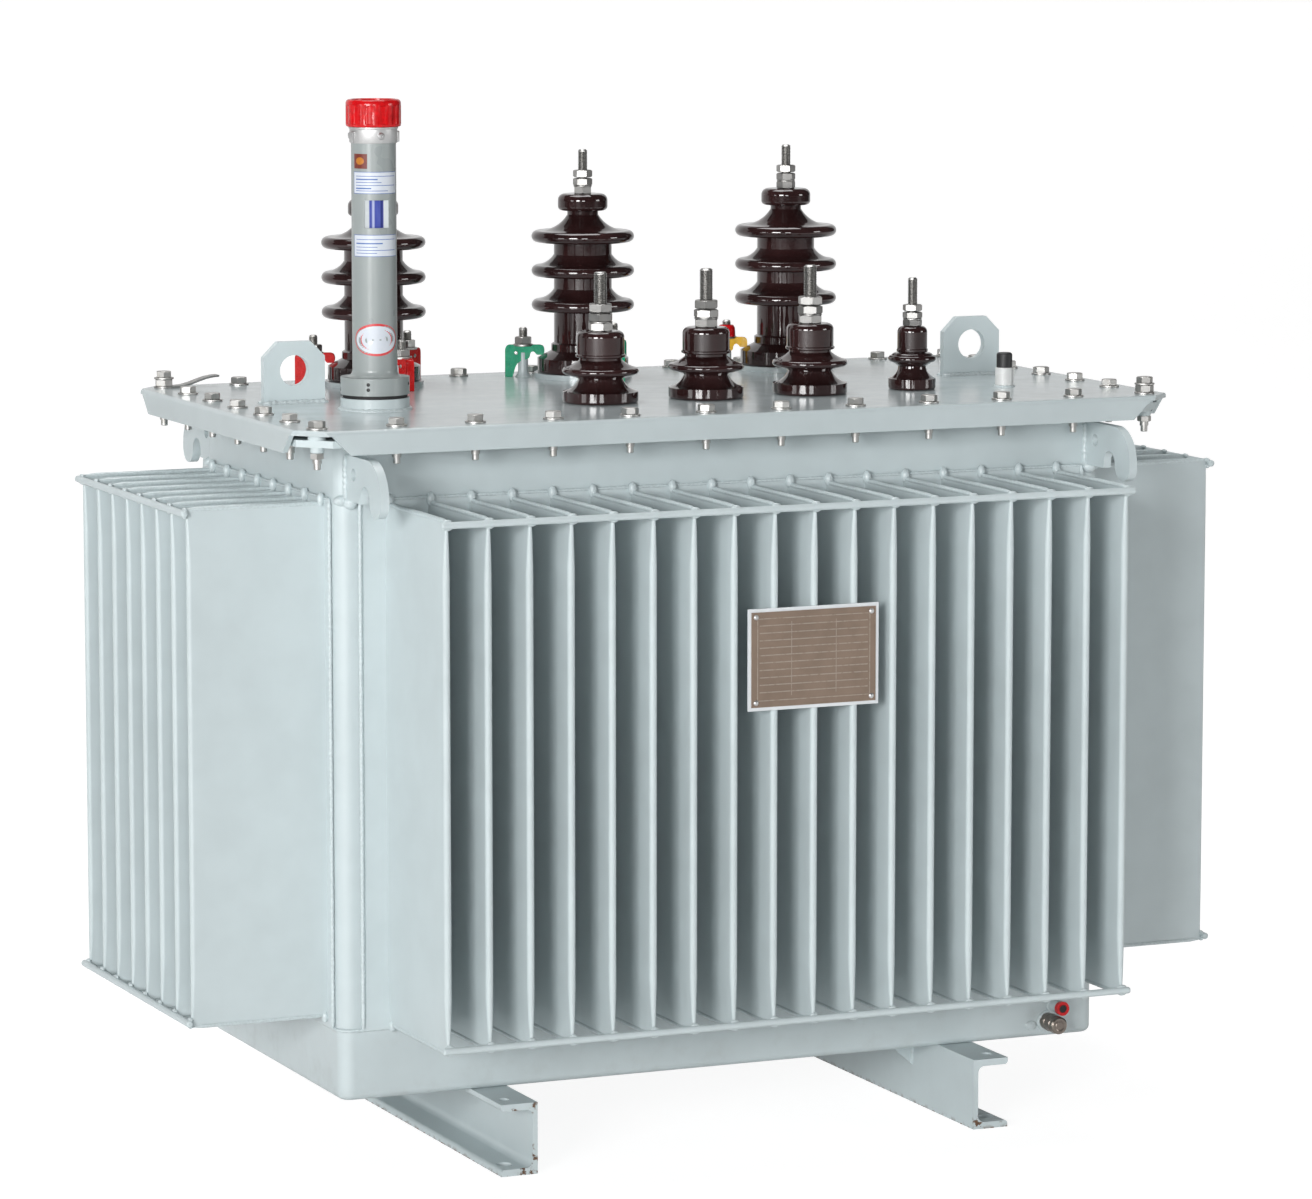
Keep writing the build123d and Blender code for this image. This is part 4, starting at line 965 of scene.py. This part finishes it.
class TRANSFORMER_OT_tank_welds(bpy.types.Operator):
    """Weld the tank, its walls, its hooks and what stands on the cover"""

    bl_idname = "transformer.tank_welds"
    bl_label = "Tank welds"
    bl_options = {"REGISTER", "UNDO"}

    def execute(self, context):
        """Run every bead on the tank and the skids into one shape."""
        welds = context.scene.transformer_welds
        chance = random.Random(welds.seed + 1)
        shape = bmesh.new()
        seam = welds.seam
        hook_low, hook_high, hook_face = 0.778, 0.829, 0.0052
        lug_half, lug_face, skid_half, gusset_face = 0.041, 0.0075, 0.219, 0.0035

        def weld(path, width=seam, closed=False):
            """One bead along a path."""
            bead(shape, path, width, chance, welds.ripple, closed=closed)

        for side in SIDES:
            for end in SIDES:
                front = (end * LONG_PANEL, side * LONG_ROOT)
                flank = (side * (SIDE_ROOT - 0.0005), end * SIDE_PANEL)
                for x, y in (front, flank):
                    weld(((x, y, PANEL_LOW), (x, y, PANEL_HIGH)))
            x, y = side * (SIDE_ROOT - 0.001), side * (LONG_ROOT - 0.001)
            weld(((-LONG_PANEL, y, PANEL_HIGH), (LONG_PANEL, y, PANEL_HIGH)), seam * 0.8)
            weld(((x, -SIDE_PANEL, PANEL_HIGH), (x, SIDE_PANEL, PANEL_HIGH)), seam * 0.8)
        weld(rounded_loop(TANK.x + 0.0005, TANK.y + 0.0005, SEAM_Z), seam * 0.9, closed=True)
        weld(rounded_loop(TANK.x, TANK.y, FLANGE_UNDER), closed=True)
        for row in SIDES:
            for side in SIDES:
                for face in SIDES:
                    x, y = side * HOOK_X + face * hook_face, row * 0.2275
                    weld(((x, y, hook_low), (x, y, hook_high)), 0.0075)
                blob(shape, (side * HOOK_X, row * 0.2290, 0.775), (0.0090, 0.0080, 0.0080), chance)
                corner = (side * (HOOK_X + 0.008), row * 0.2240, 0.777)
                blob(shape, corner, (0.0110, 0.0070, 0.0065), chance)
        for name in ("lifting_lug_left", "lifting_lug_right"):
            lug = middle(name)
            for face in SIDES:
                y, z = lug.y + face * lug_face, COVER_TOP - 0.0010
                weld(((lug.x - lug_half, y, z), (lug.x + lug_half, y, z)), 0.0095)
        for name, radius, width in (("gauge_foot", 0.0402, 0.0062), ("thermometer_pocket", 0.0112, 0.004)):
            centre = middle(name)
            weld(circle(at(centre.x, centre.y, COVER_TOP), radius, 48), width, closed=True)
        for side in SIDES:
            web, lip, nose = side * 0.2790, side * 0.2860, side * 0.238
            for x in (lip, web):
                weld(((x, -skid_half, SKID_TOP), (x, skid_half, SKID_TOP)), 0.005)
            for y in (-GUSSET_Y - gusset_face, GUSSET_Y - gusset_face):
                weld(((web, y, 0.048), (web, y, 0.083), (nose, y, 0.0838)), 0.004)
        for name, radius in (("drain_valve", 0.0112), ("oil_sampler", 0.0078)):
            centre = middle(name)
            weld(circle(at(centre.x, BOX_FACE_Y, centre.z) @ FORWARD, radius, 24), 0.005, closed=True)
        drain = middle("drain_valve")
        patch = (drain.x - 0.0215, BOX_FACE_Y + 0.0001, drain.z - 0.004)
        blob(shape, patch, (0.0085, 0.0020, 0.0060), chance, 14)
        piece("tank_welds", shape, "weld_enamel", 60)
        return {"FINISHED"}


class TRANSFORMER_OT_terminals(bpy.types.Operator):
    """Thread the studs and stack their nuts and washers"""

    bl_idname = "transformer.terminals"
    bl_label = "Terminals"
    bl_options = {"REGISTER", "UNDO"}

    def stack(self, shape, bushing, top, radius, across, tall, pitch, chance):
        """One threaded stud with three nuts, and a washer on the lowest one."""
        ring = ((0, 0), (across * 0.54, 0), (across * 0.55, 0.0002), (across * 0.55, 0.0013), (0, 0.0016))
        centre = middle(bushing)
        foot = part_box(bushing)[1].z
        for number in range(3):
            turn = chance.uniform(0, math.pi / 3)
            hexagon(shape, across, tall - 0.0012, at(centre.x, centre.y, foot + number * tall, turn))
        turned(shape, ring, at(centre.x, centre.y, foot + tall - 0.0014), 28)
        threaded(shape, radius, pitch, foot, top, at(centre.x, centre.y, 0, chance.uniform(0, 6)))

    def execute(self, context):
        """Stack the high-voltage studs, then the low-voltage ones and the neutral."""
        chance = random.Random(3)
        high, low = bmesh.new(), bmesh.new()
        high_top, low_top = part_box("hv_terminals")[1].z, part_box("lv_terminals")[1].z
        for letter in "abc":
            self.stack(high, f"hv_bushing_{letter}", high_top, 0.006, 0.0205, 0.010, 0.00175, chance)
        for letter in "abc":
            self.stack(low, f"lv_bushing_{letter}", low_top, 0.008, 0.0258, 0.011, 0.002, chance)
        self.stack(low, "neutral_bushing", COVER_TOP + 0.134, 0.006, 0.0205, 0.009, 0.00175, chance)
        piece("hv_studs", high, "tin_plating", 30, ("hv_terminals",))
        piece("lv_studs", low, "tin_plating", 30, ("lv_terminals",))
        return {"FINISHED"}


CLAW = [
    (0.0210, 0.0000), (0.0210, 0.0342), (0.0199, 0.0368), (0.0172, 0.0380), (-0.0210, 0.0380),
    (-0.0238, 0.0369), (-0.0250, 0.0342), (-0.0250, 0.0296), (-0.0238, 0.0284), (-0.0172, 0.0283),
    (-0.0158, 0.0306), (-0.0128, 0.0327), (-0.0096, 0.0318), (-0.0076, 0.0286), (-0.0070, 0.0242),
    (-0.0030, 0.0225), (0.0030, 0.0205), (0.0076, 0.0174), (0.0102, 0.0128), (0.0122, 0.0065),
    (0.0140, 0.0),
]
CLAW_THICK = 0.011
CLAMP_PHASES = (
    ("a", "first_phase", "clamp_red"),
    ("b", "second_phase", "clamp_green"),
    ("c", "third_phase", "clamp_yellow"),
)


class TRANSFORMER_OT_clamps(bpy.types.Operator):
    """Set three coated clamps round the foot of each high-voltage bushing"""

    bl_idname = "transformer.clamps"
    bl_label = "Bushing clamps"
    bl_options = {"REGISTER", "UNDO"}

    def execute(self, context):
        """Stand each claw on its post, with pins, washer, nut and stud. One nut wears a cap."""
        chance = random.Random(9)
        hardware, posts, spare = bmesh.new(), bmesh.new(), bmesh.new()
        hidden_side = 156.0
        pin = (0, 0), (0.0024, 0), (0.0024, 0.0007), (0.0019, 0.0012), (0, 0.0014)
        dome = (
            (0, 0.0395), (0.0112, 0.0395), (0.0114, 0.0405), (0.0106, 0.0510), (0.0086, 0.0545),
            (0, 0.0560),
        )
        foot = (
            (0, 0), (0.0100, 0), (0.0086, 0.0016), (0.0070, 0.0042), (0.0062, 0.0080),
            (0.0060, 0.030), (0, 0.030),
        )
        outline = bent(CLAW[::-1], 0.0012, 2)
        for letter, phase, slot in CLAMP_PHASES:
            claws = bmesh.new()
            centre = middle(f"hv_bushing_{letter}")
            for angle in (hidden_side, 36.0, 276.0):
                spot = at(centre.x, centre.y, COVER_TOP, math.radians(angle)) @ at(CLAMP_REACH, 0, 0)
                slab(claws, outline, CLAW_THICK, spot @ at(0, CLAW_THICK / 2, 0) @ FORWARD, 0.0011)
                for face in SIDES:
                    outwards = Matrix.Rotation(-face * math.pi / 2, 4, "X")
                    turned(hardware, pin, spot @ at(0.0085, face * 0.0052, 0.0296) @ outwards, 14)
                turned(hardware, washer(0.0124, 0.0023), spot @ at(0, 0, 0.038), 28)
                hexagon(hardware, 0.0188, 0.0088, spot @ at(0, 0, 0.0405, chance.uniform(0, 1)))
                stud = spot @ at(0, 0, 0, chance.uniform(0, 6))
                threaded(hardware, 0.0056, 0.00175, 0.034, 0.0608, stud)
                if letter == "c" and angle == hidden_side:
                    turned(spare, dome, spot, 28)
                turned(posts, foot, spot, 24)
            piece(f"clamp_claws_{letter}", claws, phase, 40, (f"hv_clamps_{letter}",))
        piece("clamp_nut_cap", spare, "red_plastic")
        piece("clamp_hardware", hardware, "zinc_plating")
        piece("clamp_posts", posts, "fitting_enamel")
        return {"FINISHED"}


LABEL_COLOURS = {
    "white": ((0.66, 0.70, 0.76), (0.60, 0.65, 0.74)),
    "blue": ((0.05, 0.13, 0.42), (0.20, 0.30, 0.55)),
    "red": ((0.66, 0.030, 0.040), (0.80, 0.25, 0.22)),
    "brown": ((0.16, 0.020, 0.018), (0.35, 0.12, 0.03)),
    "amber": ((0.55, 0.20, 0.02), (0.20, 0.05, 0.02)),
}
PALE_LABELS = (
    (1.1270, (0.0076, 0.0040, 0.0004, -0.0030, -0.0064, -0.0092)),
    (1.0547, (0.0072, 0.0026, -0.0016, -0.0052, -0.0086)),
)


class TRANSFORMER_OT_gauge(bpy.types.Operator):
    """Give the gauge its ribbed cap, clamp ring, screws and blank labels"""

    bl_idname = "transformer.gauge"
    bl_label = "Oil gauge"
    bl_options = {"REGISTER", "UNDO"}

    def execute(self, context):
        """Build the cap, the ring, the labels and the set screws."""
        self.centre = middle("gauge_tube")
        self.cap()
        self.ring()
        self.labels()
        self.screws()
        return {"FINISHED"}

    def cap(self):
        """The red cap, with upright flutes round its skirt and a raised rim on top."""
        low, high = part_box("relief_cap")
        tall = high.z - low.z
        flutes, flute_radius, flute_out = 12, 0.0140, 0.0447

        def fluted(radius, level, angle):
            """A radius cut back where a flute runs."""
            if not 0.0029 < level < tall - 0.0069:
                return radius
            half = math.pi / flutes
            away = (angle + half) % (2 * half) - half
            span = flute_radius**2 - (flute_out * math.sin(away)) ** 2
            return min(radius, flute_out * math.cos(away) - math.sqrt(span)) if span > 0 else radius

        profile = (
            (0, 0), (0.0312, 0), (0.0318, 0.0006), (CAP_RADIUS, 0.0028), (CAP_RADIUS, 0.0034),
            (CAP_RADIUS, tall - 0.0074), (CAP_RADIUS, tall - 0.0066), (0.0319, tall - 0.0036),
            (0.0310, tall - 0.0014), (0.0292, tall - 0.0001), (0.0262, tall), (0.0256, tall - 0.0005),
            (0.0254, tall - 0.0020), (0.0248, tall - 0.0024), (0, tall - 0.0024),
        )
        shape = bmesh.new()
        turned(shape, profile, at(self.centre.x, self.centre.y, low.z), 144, fluted)
        piece("relief_cap_ribbed", shape, "red_plastic", 40, ("relief_cap",))

    def ring(self):
        """The split clamp ring with its screws and ears."""
        low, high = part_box("gauge_ring")
        tall = high.z - low.z
        profile = (
            (0, 0), (0.0272, 0), (0.0276, 0.0006), (0.0276, tall - 0.0030), (0.0284, tall - 0.0026),
            (0.0288, tall - 0.0018), (0.0288, tall - 0.0006), (0.0280, tall), (0, tall),
        )
        screw = (
            (0, 0), (0.0040, 0), (0.0040, 0.0011), (0.0030, 0.0022), (0.0012, 0.0024),
            (0.0010, 0.0014), (0, 0.0014),
        )
        ear = bent([(-0.0045, 0.0), (0.0045, 0.0), (0.0045, 0.0125), (-0.0045, 0.0125)], 0.0016)
        sideways = Matrix.Rotation(math.pi / 2, 4, "Z") @ FORWARD
        shape = bmesh.new()
        turned(shape, profile, at(self.centre.x, self.centre.y, low.z), 72)
        for angle in (-92.0, -10.0, 80.0, 172.0):
            turned(shape, screw, round_axis(self.centre, 0.0274, angle, low.z + tall * 0.45), 20)
        for angle in (-172.0, -14.0):
            spot = at(self.centre.x, self.centre.y, low.z + 0.001, math.radians(angle))
            slab(shape, ear, 0.0042, spot @ at(0.0255, 0, 0) @ sideways, 0.0006)
        piece("gauge_clamp_ring", shape, "ring_aluminium", 34, ("gauge_ring",))

    def on_tube(self, shape, turn, level, lift):
        """A corner on the tube, raised by a lift."""
        radius = TUBE_RADIUS + lift
        x, y = self.centre.x + radius * math.cos(turn), self.centre.y + radius * math.sin(turn)
        return shape.verts.new((x, y, level))

    def band(self, shape, angle, level, wide, tall, lift):
        """An oblong bent round the tube, with its middle at an angle in degrees and a level."""
        steps = 18
        rows = []
        for row in (-0.5, 0.0, 0.5):
            line = []
            for step in range(steps + 1):
                turn = math.radians(angle) + (step / steps - 0.5) * wide / (TUBE_RADIUS + lift)
                line.append(self.on_tube(shape, turn, level + row * tall, lift))
            rows.append(line)
        for lower, upper in zip(rows, rows[1:]):
            for step in range(steps):
                shape.faces.new((lower[step], lower[step + 1], upper[step + 1], upper[step]))

    def oval(self, shape, angle, level, wide, tall, lift):
        """An oval bent round the tube."""
        count = 40
        rings = []
        for share in (1.0, 0.66, 0.33, 0.0):
            ring = []
            for step in range(count if share else 1):
                around = 2 * math.pi * step / count
                out = share * wide / 2 / (TUBE_RADIUS + lift) * math.cos(around)
                height = level + share * tall / 2 * math.sin(around)
                ring.append(self.on_tube(shape, math.radians(angle) + out, height, lift))
            rings.append(ring)
        skin(shape, rings)

    def labels(self):
        """Blank labels: coloured grounds with plain borders and rows of short rules."""
        chance = random.Random(4)
        for name, (ground, mark) in LABEL_COLOURS.items():
            sticker(f"label_{name}", ground, mark)
        shapes = {name: bmesh.new() for name in LABEL_COLOURS}
        ground_lift, face_lift, print_lift = 0.00015, 0.0003, 0.0004
        front, long_rule = -104.7, 0.052
        for level, rows in PALE_LABELS:
            self.band(shapes["blue"], front, level, 0.0600, 0.0252, ground_lift)
            self.band(shapes["white"], front, level, 0.0588, 0.0240, face_lift)
            for number, rise in enumerate(rows):
                long = long_rule if number in (0, 3) else chance.uniform(0.020, 0.046)
                turn = front + math.degrees((long - long_rule) / 2 / 0.0262)
                thick = chance.choice((0.0007, 0.0014))
                self.band(shapes["blue"], turn, level + rise, long, thick, print_lift)
        self.oval(shapes["red"], -105.6, 0.9462, 0.0580, 0.0376, ground_lift)
        self.oval(shapes["white"], -105.6, 0.9462, 0.0520, 0.0322, face_lift)
        self.band(shapes["brown"], -148.0, 1.1517, 0.0190, 0.0170, ground_lift)
        self.oval(shapes["amber"], -148.0, 1.1520, 0.0115, 0.0085, face_lift)
        for name, shape in shapes.items():
            piece(f"labels_{name}", shape, f"label_{name}")

    def screws(self):
        """Set screws in the tube's flange."""
        places = ((-122.0, 0.0075), (-122.0, 0.0135), (-36.0, 0.0125), (60.0, 0.0125), (150.0, 0.0125))
        screw = (0, 0), (0.0021, 0), (0.0021, 0.0004), (0.0012, 0.0006), (0.0010, 0.0002), (0, 0.0002)
        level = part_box("gauge_seal")[1].z
        shape = bmesh.new()
        for angle, lift in places:
            turned(shape, screw, round_axis(self.centre, 0.0398, angle, level + lift), 14)
        piece("gauge_set_screws", shape, "black_plastic")


class TRANSFORMER_OT_plate(bpy.types.Operator):
    """Rivet the blank rating plate"""

    bl_idname = "transformer.plate"
    bl_label = "Rating plate"
    bl_options = {"REGISTER", "UNDO"}

    def execute(self, context):
        """Set a rivet in each corner."""
        shape = bmesh.new()
        low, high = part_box("rating_plate")
        edge = 0.0055
        dome = (0, 0), (0.0032, 0), (0.0031, 0.0006), (0.0025, 0.0013), (0.0014, 0.0018), (0, 0.0020)
        for x in (low.x + edge, high.x - edge):
            for z in (low.z + edge, high.z - edge):
                turned(shape, dome, at(x, low.y, z) @ FORWARD, 18)
        piece("plate_rivets", shape, "ring_aluminium", 50)
        return {"FINISHED"}


class TRANSFORMER_OT_drain(bpy.types.Operator):
    """Finish the drain plug and the sampling cap"""

    bl_idname = "transformer.drain"
    bl_label = "Drain and sampler"
    bl_options = {"REGISTER", "UNDO"}

    def execute(self, context):
        """Sink a dish in the cap, and put two rings and a socket on the plug."""
        cap, plug = middle("sampler_cap"), middle("drain_valve")
        front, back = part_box("drain_valve")
        dish = (0, -0.0006), (0.0042, -0.0006), (0.0046, 0.0001), (0.0034, 0.0003), (0, 0.0003)
        ring = (0.0104, 0), (0.0109, 0.0004), (0.0109, 0.0020), (0.0104, 0.0024)
        socket = (0, 0.0004), (0.0048, 0.0004), (0.0052, 0.0001), (0.0066, 0.0005), (0.0068, 0)
        shape = bmesh.new()
        turned(shape, dish, at(cap.x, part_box("sampler_cap")[0].y, cap.z) @ FORWARD, 24)
        piece("sampler_seal", shape, "dark_rubber")
        shape = bmesh.new()
        for out in (0.010, 0.0235):
            turned(shape, ring, at(plug.x, back.y - out, plug.z) @ FORWARD, 32)
        turned(shape, socket, at(plug.x, front.y, plug.z) @ FORWARD, 32)
        piece("drain_collars", shape, "plug_steel")
        return {"FINISHED"}


class TRANSFORMER_OT_strap(bpy.types.Operator):
    """Lay the earth strap from the corner bolt"""

    bl_idname = "transformer.strap"
    bl_label = "Earth strap"
    bl_options = {"REGISTER", "UNDO"}

    def execute(self, context):
        """Bend the strap up over the cover's lip."""
        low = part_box("earth_strap")[0]
        half_wide, thick = 0.0079, 0.0022
        run = (
            (0.0, 0.0002), (0.012, 0.0003), (0.024, 0.0010), (0.034, 0.0034), (0.044, 0.0068),
            (0.054, 0.0098), (0.0625, 0.0112), (0.0695, 0.0117),
        )
        section = (-half_wide, 0.0), (half_wide, 0.0), (half_wide, thick), (-half_wide, thick)
        centre_y = middle("earth_strap").y
        shape = bmesh.new()
        rings = []
        for along, rise in run:
            x, z = low.x + along, low.z + rise
            rings.append([shape.verts.new((x, centre_y + side, z + up)) for side, up in section])
        skin(shape, rings, capped=True)
        piece("earth_strap_bent", shape, "tin_plating", 40, ("earth_strap",))
        return {"FINISHED"}


LAMPS = (
    ("key_lamp", (-9.2, -9.0, 2.9), 0.5, 4.4, 3.6, 1150.0),
    ("left_lamp", (-9.0, -2.6, 1.8), 0.5, 2.4, 2.0, 80.0),
    ("front_lamp", (-4.3, -12.3, 2.3), 0.5, 2.8, 2.2, 260.0),
    ("right_lamp", (7.2, -5.4, 2.4), 0.5, 2.8, 2.2, 130.0),
    ("top_lamp", (0.0, 1.4, 7.0), 0.8, 4.6, 4.0, 280.0),
)
CAMERA_SPOT = (-2.686743, -6.177830, 1.512717)
CAMERA_AZIMUTH, CAMERA_FALL = 0.411, 0.133


class TRANSFORMER_OT_stage(bpy.types.Operator):
    """Set the floor, the lamps and the camera"""

    bl_idname = "transformer.stage"
    bl_label = "Stage"
    bl_options = {"REGISTER", "UNDO"}

    def execute(self, context):
        """Set the floor, the sky, the lamps and the camera."""
        scene = context.scene
        stage = scene.transformer_stage
        self.floor()
        self.sky(scene, stage.sky)
        for name, spot, aim_height, wide, tall, power in LAMPS:
            lamp = bpy.data.lights.new(name, "AREA")
            lamp.shape = "RECTANGLE"
            lamp.size = wide
            lamp.size_y = tall
            lamp.energy = power * stage.lamp
            self.set_up(scene, name, lamp, spot, UP * aim_height - Vector(spot))
        self.camera(scene, stage.lens)
        return {"FINISHED"}

    def set_up(self, scene, name, data, spot, look):
        """Put a lamp or a camera at a spot, looking along a vector."""
        made = bpy.data.objects.new(name, data)
        made.location = spot
        made.rotation_mode = "QUATERNION"
        made.rotation_quaternion = look.to_track_quat("-Z", "Y")
        scene.collection.objects.link(made)
        return made

    def floor(self):
        """A wide floor that turns up far behind."""
        half_wide = 14.0
        rows = ((-14.0, 0.0), (5.0, 0.0), (7.0, 0.25), (8.4, 1.2), (9.0, 3.0), (9.2, 9.0))
        shape = bmesh.new()
        lines = [[shape.verts.new((side * half_wide, y, z)) for side in SIDES] for y, z in rows]
        for near, far in zip(lines, lines[1:]):
            shape.faces.new((near[0], near[1], far[1], far[0]))
        floor_white("floor_white")
        floor = add_object("floor", shape, "floor_white")

    def sky(self, scene, strength):
        """Even light from all round, which the camera sees as white."""
        world = bpy.data.worlds.new("studio")
        world.use_nodes = True
        scene.world = world
        graph = Graph(world.node_tree)
        pale = {"Color": (0.98, 0.99, 1.0, 1), "Strength": strength}
        white = {"Color": (1, 1, 1, 1), "Strength": 1.0}
        light = graph.node("ShaderNodeBackground", None, pale).out(0)
        view = graph.node("ShaderNodeBackground", None, white).out(0)
        seen = graph.node("ShaderNodeLightPath").out("Is Camera Ray")
        mixed = graph.node("ShaderNodeMixShader", None, {0: seen, 1: light, 2: view}).out(0)
        graph.node("ShaderNodeOutputWorld", None, {"Surface": mixed})

    def camera(self, scene, lens):
        """The camera, at the place and angle that the photograph was taken from."""
        camera = bpy.data.cameras.new("camera")
        camera.lens = lens
        camera.sensor_width = 36.0
        camera.clip_start = 0.1
        camera.clip_end = 60.0
        level = math.cos(CAMERA_FALL)
        away = Vector((math.sin(CAMERA_AZIMUTH) * level, math.cos(CAMERA_AZIMUTH) * level, 0))
        look = away - UP * math.sin(CAMERA_FALL)
        scene.camera = self.set_up(scene, "camera", camera, CAMERA_SPOT, look)
        scene.view_settings.view_transform = "Standard"


class TRANSFORMER_PT_parts(bpy.types.Panel):
    """The transformer's groups of pieces"""

    bl_idname = "TRANSFORMER_PT_parts"
    bl_label = "Transformer"
    bl_space_type = "VIEW_3D"
    bl_region_type = "UI"
    bl_category = "Transformer"

    def draw(self, context):
        """List the settings and the steps."""
        layout = self.layout
        for settings in SETTINGS:
            group = getattr(context.scene, settings)
            box = layout.box()
            for name in group.bl_rna.properties.keys():
                if name not in ("rna_type", "name"):
                    box.prop(group, name)
        for step in STEPS:
            layout.operator(step.bl_idname)


SETTINGS = {
    "transformer_paint": PaintSettings,
    "transformer_fasteners": FastenerSettings,
    "transformer_welds": WeldSettings,
    "transformer_stage": StageSettings,
}
STEPS = (
    TRANSFORMER_OT_paint,
    TRANSFORMER_OT_cover_bolts,
    TRANSFORMER_OT_fin_welds,
    TRANSFORMER_OT_tank_welds,
    TRANSFORMER_OT_terminals,
    TRANSFORMER_OT_clamps,
    TRANSFORMER_OT_gauge,
    TRANSFORMER_OT_plate,
    TRANSFORMER_OT_drain,
    TRANSFORMER_OT_strap,
    TRANSFORMER_OT_stage,
)
CLASSES = (*SETTINGS.values(), *STEPS, TRANSFORMER_PT_parts)


def register():
    """Make the settings, steps and panel known."""
    for item in CLASSES:
        bpy.utils.register_class(item)
    for name, settings in SETTINGS.items():
        setattr(bpy.types.Scene, name, PointerProperty(type=settings))


def unregister():
    """Take the settings, steps and panel away again."""
    for name in SETTINGS:
        delattr(bpy.types.Scene, name)
    for item in reversed(CLASSES):
        bpy.utils.unregister_class(item)


def main():
    """Build everything in order."""
    register()
    for step in STEPS:
        group, name = step.bl_idname.split(".")
        getattr(getattr(bpy.ops, group), name)()


if __name__ == "__main__":
    main()
